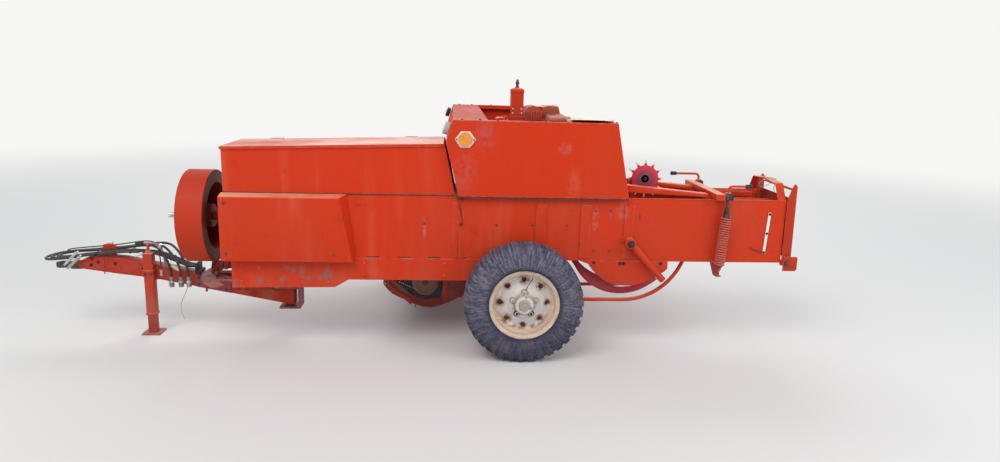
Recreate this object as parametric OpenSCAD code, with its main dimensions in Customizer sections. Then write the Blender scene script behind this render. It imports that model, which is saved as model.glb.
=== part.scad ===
// Small square baler, towed, with twine knotters
// X runs rearward, Y to the machine's right, Z up; the ground is at Z 0
// Every outline below is drawn from the axle (X) and the left chamber wall (Y)

/* [Wheels] */
// Outer diameter of the tyres
tyre_d = 750; // [700:5:800]
// Width of the tyres
tyre_w = 220; // [190:5:240]
// Height of the shoulder lugs
lug_h = 9; // [5:1:12]
// Number of shoulder lugs on each side of a tyre
lug_count = 30; // [20:1:36]
// Diameter of the wheel's flange
rim_d = 446; // [420:2:460]
// Distance of the left wheel's middle from the chamber wall
wheel_left = 160; // [150:1:200]
// Distance of the right wheel's middle from the left chamber wall
wheel_right = 1960; // [1900:5:2100]
// Width of the square axle tube
axle_s = 90; // [70:2:110]
// Diameter of the axle's spindles
spindle_d = 50; // [40:1:60]

/* [Bale chamber] */
// Height of the chamber's underside over the ground
chamber_z = 602; // [590:1:640]
// Width of a bale
bale_w = 490; // [460:5:520]
// Height of a bale
bale_h = 360; // [350:1:380]
// Thickness of the chamber's side walls
wall_t = 6; // [4:1:8]
// Depth of the floor and roof channels
channel_h = 28; // [20:1:36]
// Length of the chamber ahead of the axle
chamber_fwd = 1840; // [1800:5:1900]
// Length of the chamber behind the axle
chamber_aft = 1710; // [1650:5:1760]
// How far the wall ribs stand out
rib_t = 8; // [5:1:10]
// Stroke of the plunger
stroke = 720; // [680:5:740]

/* [Frame] */
// Height of the frame's side rails
rail_h = 141; // [120:1:160]
// Thickness of the frame's plates
rail_t = 8; // [6:1:10]
// Width of the rails' flanges
flange_w = 52; // [40:1:70]
// Height of the deep front plates
front_plate_h = 200; // [190:1:215]

/* [Twine box and hood] */
// Height of the twine box over the chamber at its front
box_front_h = 275; // [240:5:300]
// Height of the twine box over the chamber at its rear
box_rear_h = 319; // [305:2:325]
// Thickness of the sheet metal
sheet_t = 4; // [3:0.5:5]
// Height of the hood over the chamber
hood_h = 472; // [440:2:500]
// Width of the machine from the left chamber wall to the hood's right side
hood_right = 2100; // [2080:5:2200]
// Right end of the feeder table
table_right = 1800; // [1740:5:1805]

/* [Flywheel and drive] */
// Diameter of the flywheel
fly_d = 602; // [560:2:620]
// Width of the flywheel's rim
fly_w = 168; // [140:2:180]
// Inner diameter of the flywheel's rim
fly_bore = 440; // [400:5:470]
// Height of the drive shaft over the ground
shaft_z = 818; // [800:1:830]
// Diameter of the splined power shaft
pto_d = 34.9; // [30:0.1:36]

/* [Needles] */
// Radius of the needles about their pivot
needle_r = 361; // [355:1:366]
// Height of the needle pivot over the chamber's underside
pivot_up = 131; // [128:1:134]
// Distance of the needle pivot behind the axle
pivot_x = 688; // [680:1:700]
// Depth of a needle
needle_h = 36; // [28:1:40]
// Thickness of a needle
needle_t = 14; // [10:1:18]
// Distance between the two needles
needle_gap = 230; // [200:5:260]
// Diameter of the yoke's tubes
yoke_d = 45; // [38:1:45]

/* [Pickup] */
// Height of the reel's axis over the ground
reel_z = 292; // [285:1:310]
// Distance of the reel's axis ahead of the axle
reel_fwd = 640; // [630:1:650]
// Radius at the tips of the tines
tine_r = 225; // [210:1:230]
// Radius of the stripper bands
band_r = 180; // [165:1:185]
// Distance between two tines
tine_pitch = 75; // [70:1:85]
// Number of tines on each bar
tine_count = 15; // [12:1:16]
// Number of tine bars
bar_count = 4; // [3:1:6]

/* [Drawbar and jack] */
// Width of the drawbar's beam
beam_w = 100; // [80:2:110]
// Wall of the drawbar's beam
beam_t = 8; // [6:1:10]
// Distance of the drawbar's middle from the left chamber wall
beam_y = 360; // [340:5:380]
// Diameter of the hole in the hitch eye
eye_d = 33; // [28:1:40]
// Diameter of the drawbar's pivot pin
pivot_pin_d = 40; // [30:1:45]
// Width of the jack's outer tube
jack_s = 60; // [50:1:64]
// Diameter of the hydraulic hoses
hose_d = 16; // [12:1:18]

/* [Chamber rear] */
// Radius at the tips of the star wheel
star_r = 130; // [120:1:140]
// Number of the star wheel's spikes
star_count = 12; // [8:1:16]
// Diameter of a tension spring's coil
spring_d = 70; // [60:1:76]
// Height of the folded bale chute
chute_h = 521; // [480:1:540]

/* [Hidden] */
$fn = 48;
run = 0.05;
seat = 0.3;
clear = 5;
paint = "orangered";
axle_z = tyre_d / 2;
chamber_w = bale_w + 2 * wall_t;
chamber_top = chamber_z + bale_h + 2 * channel_h;
floor_top = chamber_z + channel_h;
roof_low = chamber_top - channel_h;
cy = chamber_w / 2;
cx0 = -chamber_fwd;
cx1 = chamber_aft;
rail_low = chamber_z - rail_h;
plate_low = chamber_z - front_plate_h;
rail_end = 290;
pin_x = cx0 + 280;
eye_x = pin_x - 1490;
chute_x = cx1 + 66;
foot_x = chute_x + 43;
chute_pin = [cx1 + 36, chamber_z + 3];
mid_x = (eye_x - 40 + foot_x) / 2;
mid_y = (hood_right - wheel_left - tyre_w / 2) / 2;
pivot_z = chamber_z + pivot_up;
needle_ys = [cy - needle_gap / 2, cy + needle_gap / 2];
reel_x = -reel_fwd;
hood_x0 = -416;
hood_x1 = 664;
hood_top = chamber_top + hood_h;
hood_rear = hood_x1 - 95;
hood_front = hood_x0 - 40;
hood_nose = hood_x0 - 83;
box_x0 = cx0 - 30;
box_x1 = hood_x0 - 92;
kink_z = chamber_top + box_rear_h + 15;
table_x0 = -380;
table_x1 = 320;
fly_x0 = cx0 - 317;
beam_top_rear = 300;

module place() translate([-mid_x, -mid_y, 0]) children();
module block(x0, x1, y0, y1, z0, z1) translate([x0, y0, z0]) cube([x1 - x0, y1 - y0, z1 - z0]);
module slab(y0, y1, points) translate([0, y1, 0]) rotate([90, 0, 0]) linear_extrude(y1 - y0) polygon(points);
module rod_x(y, z, r, x0, x1) translate([x0, y, z]) rotate([0, 90, 0]) cylinder(r = r, h = x1 - x0);
module rod_y(x, z, r, y0, y1) translate([x, y1, z]) rotate([90, 0, 0]) cylinder(r = r, h = y1 - y0);
module rod_z(x, y, r, z0, z1) translate([x, y, z0]) cylinder(r = r, h = z1 - z0);
module rod(a, b, r) {
    d = b - a;
    translate(a) rotate([0, acos(d[2] / norm(d)), atan2(d[1], d[0])]) cylinder(r = r, h = norm(d));
}

// frame and axle
rail_side = [[cx0, chamber_z], [rail_end, chamber_z], [rail_end, rail_low], [-1110, rail_low],
    [-1197, plate_low + 8], [cx0, plate_low]];
module rail(y, s) {
    slab(min(y, y + s * rail_t), max(y, y + s * rail_t), rail_side);
    a = y + s * rail_t;
    b = y + s * (rail_t + flange_w);
    block(-1100, rail_end, min(a, b), max(a, b), rail_low, rail_low + rail_t);
    block(cx0, rail_end, min(a, b), max(a, b), chamber_z - rail_t, chamber_z);
}
module main_frame() color(paint) place() {
    rail(0, 1);
    rail(chamber_w, -1);
    for (x = [[cx0, plate_low, rail_t], [pin_x + 60, plate_low + 4, rail_t], [-1100, rail_low, 60],
        [-40, rail_low, 80], [rail_end - 60, rail_low, 60]])
        block(x[0], x[0] + x[2], rail_t, chamber_w - rail_t, x[1], chamber_z - rail_t);
}
axle_y0 = -wheel_left + 65;
axle_y1 = wheel_right - 65;
module axle() color(paint) place() {
    difference() {
        block(-axle_s / 2, axle_s / 2, axle_y0, axle_y1, axle_z - axle_s / 2, axle_z + axle_s / 2);
        block(-axle_s / 2 + 8, axle_s / 2 - 8, axle_y0 + 12, axle_y1 - 12,
            axle_z - axle_s / 2 + 8, axle_z + axle_s / 2 - 8);
    }
    for (y = [0, chamber_w - 60, table_right - 70])
        block(-90, 90, y, y + 60, axle_z + axle_s / 2, y < chamber_w ? rail_low : chamber_z - 42);
    rod_y(0, axle_z, spindle_d / 2, axle_y0 - 108, axle_y0);
    rod_y(0, axle_z, spindle_d / 2, axle_y1, axle_y1 + 108);
}

// chamber
module rib(x0, x1, z0, z1, y, s) block(x0, x1, min(y, y + s * rib_t), max(y, y + s * rib_t), z0, z1);
module left_wall() color(paint) place() {
    difference() {
        block(cx0, cx1, 0, wall_t, chamber_z, chamber_top);
        for (x = [-1000, -800, -610, -440])
            block(x, x + 85, -1, wall_t + 1, chamber_z + 6, chamber_z + 14);
    }
    for (x = [81, 369, 653]) rib(x, x + 62, chamber_z + 19, chamber_top - 50, 0, -1);
    rod_y(pivot_x, pivot_z, 15, -70, -rib_t);
    rod_y(pivot_x, pivot_z, 24, -78, -70);
    rod_y(pivot_x, pivot_z, 36, -rib_t - 6, 0);
    block(cx1, chute_pin[0], 0, wall_t, chute_pin[1] - 18, chute_pin[1] + 18);
    rod_y(chute_pin[0], chute_pin[1], 18, 0, wall_t);
    rod_y(chute_pin[0], chute_pin[1], 12, -26, 0);
}
module right_wall() color(paint) place() {
    difference() {
        block(cx0, cx1, chamber_w - wall_t, chamber_w, chamber_z, chamber_top);
        block(-400, 280, chamber_w - wall_t - 1, chamber_w + 1, floor_top, roof_low);
    }
    for (x = [369, 653, 1500]) rib(x, x + 62, chamber_z + 19, chamber_top - 50, chamber_w, 1);
    rod_y(pivot_x, pivot_z, 15, chamber_w + rib_t, chamber_w + 70);
    rod_y(pivot_x, pivot_z, 24, chamber_w + 70, chamber_w + 78);
    rod_y(pivot_x, pivot_z, 36, chamber_w, chamber_w + rib_t + 6);
    block(cx1, chute_pin[0], chamber_w - wall_t, chamber_w, chute_pin[1] - 18, chute_pin[1] + 18);
    rod_y(chute_pin[0], chute_pin[1], 18, chamber_w - wall_t, chamber_w);
    rod_y(chute_pin[0], chute_pin[1], 12, chamber_w, chamber_w + 26);
}
module needle_slots(x0, x1, z0, z1)
    for (y = needle_ys) block(x0, x1, y - needle_t / 2 - 8, y + needle_t / 2 + 8, z0, z1);
module chamber_floor() color("sienna") place() {
    difference() {
        block(cx0, cx1, wall_t, chamber_w - wall_t, floor_top - 8, floor_top);
        needle_slots(290, 400, floor_top - 9, floor_top + 1);
    }
    for (y = [wall_t, chamber_w - wall_t - 8]) block(cx0, cx1, y, y + 8, chamber_z, floor_top - 8);
}
roof_x1 = hood_x1 - 24;
module chamber_roof() color(paint) place() {
    difference() {
        block(cx0, roof_x1, wall_t, chamber_w - wall_t, chamber_top - 8, chamber_top);
        needle_slots(405, 530, chamber_top - 9, chamber_top + 1);
    }
    for (y = [wall_t, chamber_w - wall_t - 8]) block(cx0, roof_x1, y, y + 8, roof_low, chamber_top - 8);
}
module plunger() color("brown") place() {
    px = rail_end - stroke;
    y0 = wall_t + clear + 1;
    y1 = chamber_w - wall_t - clear - 1;
    difference() {
        block(px - 400, px, y0, y1, floor_top + clear, roof_low - clear);
        block(px - 390, px - 12, y0 + 8, y1 - 8, floor_top + clear + 8, roof_low);
        needle_slots(px - 13, px + 1, floor_top, roof_low);
    }
    for (y = [y0, y1 - 40]) block(px - 380, px - 20, y, y + 40, floor_top + seat, floor_top + clear);
}

// chamber rear
rail_ys = [40, chamber_w - 110];
beam_x = cx1 - 408;
rail_x1 = cx1 - 70;
rail_top = [[roof_x1, roof_low + 2], [roof_x1, chamber_top + 74], [beam_x - 85, chamber_top + 23],
    [beam_x - 52, chamber_top + 5], [rail_x1, chamber_top], [rail_x1, roof_low - 12]];
module tension_rails() color(paint) place()
    for (y = rail_ys) {
        slab(y, y + 6, rail_top);
        slab(y + 64, y + 70, rail_top);
        slab(y + 6, y + 64, [[roof_x1, roof_low + 2], [rail_x1, roof_low - 12], [rail_x1, roof_low - 4], [roof_x1, roof_low + 10]]);
        slab(y + 6, y + 64, [[roof_x1, chamber_top + 74], [beam_x - 85, chamber_top + 23], [beam_x - 85, chamber_top + 17], [roof_x1, chamber_top + 68]]);
    }
tens_ys = [-wall_t - 40, chamber_w + wall_t + 40];
module tension_beam() color(paint) place() {
    difference() {
        block(beam_x - 30, beam_x + 30, tens_ys[0] - 25, tens_ys[1] + 45, chamber_top + 5, chamber_top + 45);
        for (y = tens_ys) rod_z(beam_x, y, 8 + run, chamber_top, chamber_top + 50);
    }
}
spring_z1 = chamber_top - 106;
spring_z0 = chamber_z - 10;
module tension_springs() color("crimson") place()
    for (y = tens_ys) translate([beam_x, y, 0]) {
        rotate_extrude() polygon(concat([[spring_d / 2 - 12, spring_z0], [spring_d / 2 - 4, spring_z0]],
            [for (i = [0:19]) each [[spring_d / 2, spring_z0 + (i + 0.3) * 16], [spring_d / 2 - 4, spring_z0 + (i + 0.8) * 16]]],
            [[spring_d / 2 - 12, spring_z1]]));
        translate([0, 0, spring_z1]) cylinder(r = spring_d / 2 - 3, h = 8);
        translate([0, 0, spring_z0 - 8]) cylinder(r = spring_d / 2 - 3, h = 8);
    }
module tension_cranks() color("dimgray") place()
    for (t = [[tens_ys[0], 1], [tens_ys[1], -1]]) {
        rod_z(beam_x, t[0], 8, spring_z1 + 8 + seat, chamber_top + 80);
        rod_z(beam_x, t[0], 20, chamber_top + 45 + seat, chamber_top + 60);
        rod_z(beam_x, t[0], 13, chamber_top + 72, chamber_top + 98);
        rod([beam_x, t[0], chamber_top + 85], [beam_x + t[1] * 150, t[0], chamber_top + 96], 8);
        rod([beam_x + t[1] * 150, t[0], chamber_top + 96], [beam_x + t[1] * 185, t[0], chamber_top + 98], 13);
    }
module wall_fittings() color("silver") place() {
    low = chamber_z - 65;
    slab(-5, 0, [[cx1 - 130, chamber_z + 58], [cx1 - 110, chamber_z + 58], [cx1 - 94, chamber_top - 80], [cx1 - 114, chamber_top - 80]]);
    for (y = tens_ys) {
        rod_z(beam_x, y, 8, low + 8, spring_z0 - 8 - seat);
        y1 = y < 0 ? 0 : chamber_w;
        block(beam_x - 60, beam_x + 40, min(y - 12, y1), max(y + 12, y1), low, low + 8);
        block(beam_x - 60, beam_x + 40, min(y1, y1 + sign(y1 - y) * 8), max(y1, y1 + sign(y1 - y) * 8), low + 8, chamber_z);
    }
}
star_c = [roof_x1 + 184, cy - 36, chamber_top + 97];
module star_arm() color(paint) place()
    for (y = [star_c[1] - 26, star_c[1] + 18])
        difference() {
            slab(y, y + 8, [[roof_x1 - 34, chamber_top], [roof_x1, chamber_top], [star_c[0] + 26, star_c[2] - 22],
                [star_c[0] + 26, star_c[2] + 22], [star_c[0] - 10, star_c[2] + 22], [roof_x1 - 34, chamber_top + 45]]);
            rod_y(star_c[0], star_c[2], 12 + run, y - 1, y + 9);
        }
module star_wheel() color("crimson") place() {
    rod_y(star_c[0], star_c[2], 12, star_c[1] - 34, star_c[1] + 34);
    rod_y(star_c[0], star_c[2], star_r * 0.55, star_c[1] - 4, star_c[1] + 4);
    for (i = [0:star_count - 1])
        translate(star_c) rotate([0, i * 360 / star_count, 0])
            slab(-4, 4, [[star_r * 0.45, -star_r * 0.16], [star_r, 0], [star_r * 0.45, star_r * 0.16]]);
}
chute_side = [[chute_x - 52, chamber_z - 17], [chute_x, chamber_z - 17], [chute_x, chamber_z - 32 + chute_h],
    [chute_x - 18, chamber_z - 17 + chute_h], [chute_x - 52, chamber_z - 27 + chute_h]];
module bale_chute() color(paint) place() {
    difference() {
        union() {
            slab(-12, -6, chute_side);
            slab(chamber_w + 6, chamber_w + 12, chute_side);
            block(chute_x - 6, chute_x, -6, chamber_w + 6, chamber_z + 18, chamber_z - 122 + chute_h);
            block(chute_x - 52, foot_x, -20, -12, chamber_z - 52, chamber_z + 45);
            block(chute_x - 52, foot_x, chamber_w + 12, chamber_w + 20, chamber_z - 52, chamber_z + 45);
            rod_y(chute_x - 26, chamber_z - 37 + chute_h, 8, -6, chamber_w + 6);
        }
        rod_y(chute_pin[0], chute_pin[1], 12 + run, -30, -3);
        rod_y(chute_pin[0], chute_pin[1], 12 + run, chamber_w + 3, chamber_w + 30);
    }
}

// twine box, shields and hood
box_side = [[box_x0, chamber_top], [box_x1 + 71, chamber_top], [box_x1, chamber_top + box_rear_h], [box_x0, chamber_top + box_front_h]];
lid_slope = atan((box_rear_h - box_front_h) / (box_x1 - box_x0));
lid_len = (box_x1 - box_x0) / cos(lid_slope) - 5;
module at_lid() translate([box_x0, 0, chamber_top + box_front_h + seat]) rotate([0, -lid_slope, 0]) children();
lid_hinges = [200, 1100];
lid_y = chamber_w + 10;
module twine_box() color(paint) place() {
    difference() {
        slab(0, chamber_w, box_side);
        slab(sheet_t, chamber_w - sheet_t, [[box_x0 + sheet_t, chamber_top + sheet_t], [box_x1 + 70 - sheet_t, chamber_top + sheet_t],
            [box_x1 - sheet_t - 1, chamber_top + box_rear_h + 20], [box_x0 + sheet_t, chamber_top + box_front_h + 20]]);
    }
    at_lid() for (x = lid_hinges) {
        for (k = [x - 12, x + 64]) {
            block(k, k + 8, chamber_w, chamber_w + 18, -14, -3);
            block(k, k + 8, lid_y - 6, chamber_w + 18, -3, 7);
        }
        rod_x(lid_y, 0, 4, x - 12, x + 72);
    }
}
module twine_lid() color("orange") place() at_lid() {
    block(-8, lid_len, -8, chamber_w - 1, 0, sheet_t);
    block(-8, lid_len, -8, -5, -14, 0);
    block(-8, -4, -5, chamber_w - 20, -14, 0);
    for (x = lid_hinges)
        difference() {
            union() {
                block(x, x + 60, chamber_w - 1, lid_y, 0, sheet_t);
                rod_x(lid_y, 0, 8, x, x + 60);
            }
            rod_x(lid_y, 0, 4 + run, x - 1, x + 61);
        }
}
shield_x0 = cx0 - 45;
shield_x1 = shield_x0 + 811;
shield_out = 70;
shield_z0 = chamber_z - 12;
shield_z1 = chamber_top - 2;
module drive_shield() color(paint) place() {
    t = sheet_t;
    difference() {
        slab(-shield_out, 0, [[shield_x0, shield_z0], [shield_x1 + 22, shield_z0], [shield_x1 - 52, shield_z1], [shield_x0, shield_z1]]);
        slab(-shield_out + t, 1, [[shield_x0 + t, shield_z0 + t], [shield_x1 - t, shield_z0 + t],
            [shield_x1 - 82 - t, shield_z1 - t], [shield_x0 + t, shield_z1 - t]]);
        slab(-shield_out - 1, -shield_out + t, [[shield_x1, shield_z0 - 8], [shield_x1 + 34, shield_z0 - 8],
            [shield_x1 - 36, shield_z1 + 4], [shield_x1 - 82, shield_z1 + 4]]);
    }
}
hood_side = [[hood_x0, chamber_top + seat], [hood_x1, chamber_top + seat], [hood_rear, hood_top], [hood_front, hood_top], [hood_nose, kink_z]];
module hood_left() color(paint) place()
    difference() {
        slab(-40, 0, hood_side);
        slab(-40 + sheet_t, 1, [[hood_x0 + 8, chamber_top + seat + sheet_t], [hood_x1 - 8, chamber_top + seat + sheet_t],
            [hood_rear - 8, hood_top - sheet_t], [hood_front + 6, hood_top - sheet_t], [hood_nose + 6, kink_z]]);
    }
function front_x(z) = z < kink_z ? hood_x0 - 83 * (z - chamber_top) / (kink_z - chamber_top)
    : hood_nose + 43 * (z - kink_z) / (hood_top - kink_z);
sheet_x1 = hood_front + 216;
module hood_shell() color(paint) place() {
    t = sheet_t;
    slab(0, hood_right, [[hood_x0, chamber_top + seat], [hood_nose, kink_z], [hood_front, hood_top], [sheet_x1, hood_top],
        [sheet_x1, hood_top - t], [hood_front + t, hood_top - t], [hood_nose + t, kink_z], [hood_x0 + t, chamber_top + seat]]);
    difference() {
        slab(0, chamber_w, [[hood_x1, chamber_top + seat], [hood_rear, hood_top], [hood_rear - 89, hood_top], [hood_rear - 89, hood_top - t],
            [hood_rear - t, hood_top - t],
            [hood_x1 - t, chamber_top + seat]]);
        block(hood_x1 - 64, hood_x1 + 36, star_c[1] - 40, star_c[1] + 40, chamber_top, chamber_top + 160);
        for (y = rail_ys) block(hood_x1 - 64, hood_x1 + 36, y - 3, y + 73, chamber_top, chamber_top + 80);
    }
    slab(chamber_w, chamber_w + t, [[-80, chamber_top], [hood_x1 - t, chamber_top], [hood_rear - t, hood_top], [-80, hood_top]]);
    block(table_x1, table_x1 + t, chamber_w + t, hood_right, chamber_top, hood_top);
    slab(hood_right - t, hood_right, [[hood_x0 + t, chamber_top + seat], [table_x1, chamber_top + seat], [table_x1, hood_top],
        [hood_front + t, hood_top - t], [hood_nose + t, kink_z]]);
    block(sheet_x1, table_x1, hood_right - 60, hood_right - t, hood_top - 30, hood_top);
    block(sheet_x1, table_x1, 0, 40, hood_top - 30, hood_top);
    block(hood_x0 + t + 10, table_x1, table_right + 6, hood_right - t, chamber_top, chamber_top + t);
}
module feeder_table() color(paint) place() {
    block(table_x0, table_x1, chamber_w, table_right, floor_top - 8, floor_top);
    for (x = [table_x0, table_x1 - 60])
        difference() {
            block(x, x + 60, chamber_w, table_right, chamber_z - 42, floor_top - 8);
            block(x + 6, x + 54, chamber_w + 6, table_right - 6, chamber_z - 36, floor_top - 14);
        }
    for (y = [chamber_w, table_right - 70]) block(table_x0 + 60, table_x1 - 60, y, y + 60, chamber_z - 42, chamber_z - 32);
    block(table_x1, table_x1 + 6, chamber_w + 90, table_right, chamber_z - 42, chamber_top);
    slab(table_right, table_right + 6, [[table_x0, chamber_z - 42], [table_x1 + 6, chamber_z - 42], [table_x1 + 6, chamber_top],
        [hood_x0 + 10, chamber_top], [table_x0 - 20, floor_top + 60]]);
    for (y = pivot_ys) {
        block(lift_x - 25, lift_x + 25, y, y + 15, lift_z - 25, chamber_z - 42);
        rod_y(lift_x, lift_z, 15, y - 20, y);
    }
}
module hood_cover() color("wheat") place() {
    block(hood_rear - 319, hood_rear - 9, 10, chamber_w + 10, hood_top + 12, hood_top + 16);
    for (p = [[hood_rear - 313, 14], [hood_rear - 313, chamber_w - 4], [hood_rear - 29, 66], [hood_rear - 29, chamber_w - 70]])
        block(p[0], p[0] + 12, p[1], p[1] + 12, hood_top + seat, hood_top + 12);
}
arm_y = 700;
module feeder_arm() color(paint) place() {
    for (y = [620, 1500]) block(-60, 60, y, y + 10, chamber_top + 200, hood_top - 60);
    rod_y(0, hood_top - 120, 40, chamber_w + sheet_t, hood_right - sheet_t);
    difference() {
        block(-50, 38, arm_y - 45, arm_y + 45, chamber_top + 60, hood_top + 178);
        block(-42, 30, arm_y - 37, arm_y + 37, chamber_top + 70, hood_top + 170);
    }
    rod_z(-6, arm_y, 9, hood_top + 178, hood_top + 246);
    for (x = [-240, -120, 0, 120])
        rod([x, arm_y, chamber_top - 20], [x - 10, arm_y - 60, floor_top + 60], 12);
    block(-260, 140, arm_y - 30, arm_y + 30, chamber_top - 20, chamber_top + 60);
}
knot_x = hood_x1 - 150;
knot_z = chamber_top + 130;
module knotters() color("darkred") place() {
    rod_y(knot_x, knot_z, 20, -32, chamber_w - 4);
    for (y = needle_ys) {
        rod_y(knot_x, knot_z, 95, y + 14, y + 30);
        block(knot_x - 80, knot_x + 40, y + 36, y + 60, chamber_top, knot_z - 60);
        block(knot_x - 20, knot_x + 20, y + 36, y + 60, knot_z - 60, knot_z - 18);
        rod_y(knot_x, knot_z, 40, y + 30, y + 66);
    }
}
lamp_ys = [60, 1890];
module lamps() color("white") place() {
    a = atan(43 / (hood_top - kink_z));
    for (y = lamp_ys)
        translate([front_x(kink_z + 70) - seat, y, kink_z + 70]) rotate([0, a - 90, 0]) cylinder(r1 = 34, r2 = 30, h = 22);
    translate([-380, -40, chamber_top + 355]) rotate([90, 0, 0])
        linear_extrude(6) polygon([[-68, 0], [-40, 50], [40, 50], [68, 0], [40, -50], [-40, -50]]);
}
module reflector_lens() color("orange") place()
    translate([-380, -46, chamber_top + 355]) rotate([90, 0, 0]) cylinder(r = 40, h = 8);

// drive
module gearbox() color("firebrick") place() {
    difference() {
        union() {
            block(cx0 + 10, cx0 + 310, cy - 170, cy + 170, floor_top + seat, roof_low - 10);
            rod_x(cy, shaft_z, 85, cx0 - 125, cx0 + 10);
        }
        rod_x(cy, shaft_z, 30 + run, cx0 - 126, cx0 + 40);
    }
}
module flywheel() color(paint) place() {
    r = fly_d / 2;
    difference() {
        translate([fly_x0, cy, shaft_z]) rotate([0, 90, 0])
            rotate_extrude() polygon([[0, 0], [75, 0], [75, 34], [fly_bore / 2 - 8, 34], [fly_bore / 2, 26], [fly_bore / 2, 0], [r - 3, 0],
                [r, 3], [r, fly_w - 3], [r - 3, fly_w], [fly_bore / 2, fly_w], [fly_bore / 2, 62], [75, 54], [75, fly_w - 20],
                [30, fly_w - 20], [30, fly_w + 160], [0, fly_w + 160]]);
        for (a = [0:60:300]) translate([fly_x0 - 1, cy, shaft_z]) rotate([a, 0, 0]) translate([0, 140, 0]) rotate([0, 90, 0]) cylinder(r = 38, h = 80);
    }
}
module pto_stub() color("silver") place() {
    rod_x(cy, shaft_z, 62, fly_x0 - 30, fly_x0);
    rod_x(cy, shaft_z, pto_d / 2, fly_x0 - 140, fly_x0 - 30);
}

// wheels
module tyre() {
    r = tyre_d / 2;
    b = r - lug_h;
    w = tyre_w / 2;
    k = rim_d / 2;
    rotate_extrude() polygon([[k - 18, -w * 0.72], [k - 18, w * 0.72], [k - 2, w * 0.8], [k + 40, w * 0.98], [r - 70, w],
        [b - 18, w * 0.9], [b, w * 0.66], [b, -w * 0.66], [b - 18, -w * 0.9], [r - 70, -w], [k + 40, -w * 0.98], [k - 2, -w * 0.8]]);
    for (i = [0:lug_count - 1]) for (s = [-1, 1])
        rotate([0, 0, (i + (s + 1) / 4) * 360 / lug_count])
            translate([r - 48, s > 0 ? -18 : -18, s > 0 ? w * 0.5 : -w])
                cube([48, 36, w * 0.5]);
}
module rim() {
    k = rim_d / 2;
    w = tyre_w / 2 * 0.72;
    difference() {
        union() {
            rotate_extrude() polygon([[k, -w - 10], [k - 18 - seat, -w], [k - 18 - seat, w], [k, w + 10], [k - 6, w + 12], [k - 26, w + 2], [k - 26, 30],
                [k - 70, 12], [110, 30], [88, 52], [0, 52], [0, 44], [80, 44], [104, 20], [k - 70, 2], [k - 26, -10], [k - 26, -w - 2], [k - 6, -w - 12]]);
            translate([0, 0, -60]) cylinder(r = 62, h = 105);
            translate([0, 0, 51]) cylinder(r = 55, h = 34);
            for (a = [0:72:288]) rotate([0, 0, a + 18]) translate([76, 0, 51]) cylinder(r = 13, h = 18);
        }
        translate([0, 0, -61]) cylinder(r = spindle_d / 2 + run, h = 104.2);
        for (a = [0:45:315]) rotate([0, 0, a]) translate([148, 0, 0]) cylinder(r = 16, h = 60);
    }
}
module at_left() translate([0, -wheel_left, axle_z]) rotate([90, 0, 0]) children();
module at_right() translate([0, wheel_right, axle_z]) rotate([-90, 0, 0]) children();
module left_tyre() color("black") place() at_left() tyre();
module left_rim() color("white") place() at_left() rim();
module right_tyre() color("black") place() at_right() tyre();
module right_rim() color("white") place() at_right() rim();

// needles
module about_pivot() translate([pivot_x, 0, pivot_z]) rotate([90, 0, 0]) children();
home = -46.8;
cross_x = pivot_x + needle_r * cos(home);
cross_z = pivot_z + needle_r * sin(home);
arm_ys = [-rib_t - 32, chamber_w + rib_t + 32];
module yoke() color(paint) place() {
    rod_y(cross_x, cross_z, yoke_d / 2 - 2, arm_ys[0], arm_ys[1]);
    for (y = arm_ys) rod_y(cross_x, cross_z, yoke_d / 2 + 3, y - 20, y + 20);
    for (y = arm_ys)
        difference() {
            union() {
                rod([pivot_x, y, pivot_z], [cross_x, y, cross_z], yoke_d / 2);
                rod_y(pivot_x, pivot_z, 32, y - 22, y + 22);
            }
            rod_y(pivot_x, pivot_z, 15 + run, y - 30, y + 30);
        }
}
function polar(r, a) = [r * cos(a), r * sin(a)];
tip_a = 210;
module needles() color("crimson") place()
    for (y = needle_ys) difference() {
        translate([0, y, 0]) about_pivot() translate([0, 0, -needle_t / 2])
            rotate([0, 0, tip_a]) rotate_extrude(angle = 101)
                translate([needle_r - needle_h / 2, 0]) square([needle_h, needle_t]);
        rod_y(cross_x, cross_z, yoke_d / 2 - 2, y - needle_t, y + needle_t);
        translate([0, y, 0]) about_pivot() translate([0, 0, -20]) {
            linear_extrude(40) polygon([polar(needle_r + needle_h / 2 + 1, tip_a + 14), polar(needle_r + 60, tip_a + 8),
                polar(needle_r + 60, tip_a - 2), polar(needle_r - needle_h / 2 + 6, tip_a - 1)]);
            translate(polar(needle_r - 6, tip_a + 5)) cylinder(r = 5, h = 40);
        }
    }
guard_r = needle_r + yoke_d / 2 + 30;
guard_ys = [70, chamber_w - 70];
guard_bend = 40;
module needle_guard() color("orange") place()
    for (y = guard_ys) {
        a1 = -asin((pivot_up - 12) / guard_r);
        low = pivot_z - guard_r;
        translate([0, y, 0]) about_pivot() rotate([0, 0, -90]) rotate_extrude(angle = 90 + a1)
            translate([guard_r, 0]) circle(r = 12.5);
        rod_x(y, low, 12.5, 240 + guard_bend, pivot_x);
        translate([240 + guard_bend, y, low + guard_bend]) rotate([90, 0, 0]) rotate([0, 0, 180]) rotate_extrude(angle = 90)
            translate([guard_bend, 0]) circle(r = 12.5);
        rod_z(240, y, 12.5, low + guard_bend, rail_low - seat);
        block(pivot_x + guard_r * cos(a1) - 40, pivot_x + guard_r * cos(a1) + 40, y - 20, y + 20, chamber_z - 10, floor_top - 8);
    }
module segment_plates() color(paint) place()
    for (y = [0, chamber_w - wall_t]) {
        difference() {
            rod_y(672, chamber_z + 136, 312, y, y + wall_t);
            block(300, 1100, y - 1, y + wall_t + 1, chamber_z, chamber_z + 500);
            rod_y(520, chamber_z - 90, 12, y - 1, y + wall_t + 1);
        }
    }

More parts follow.
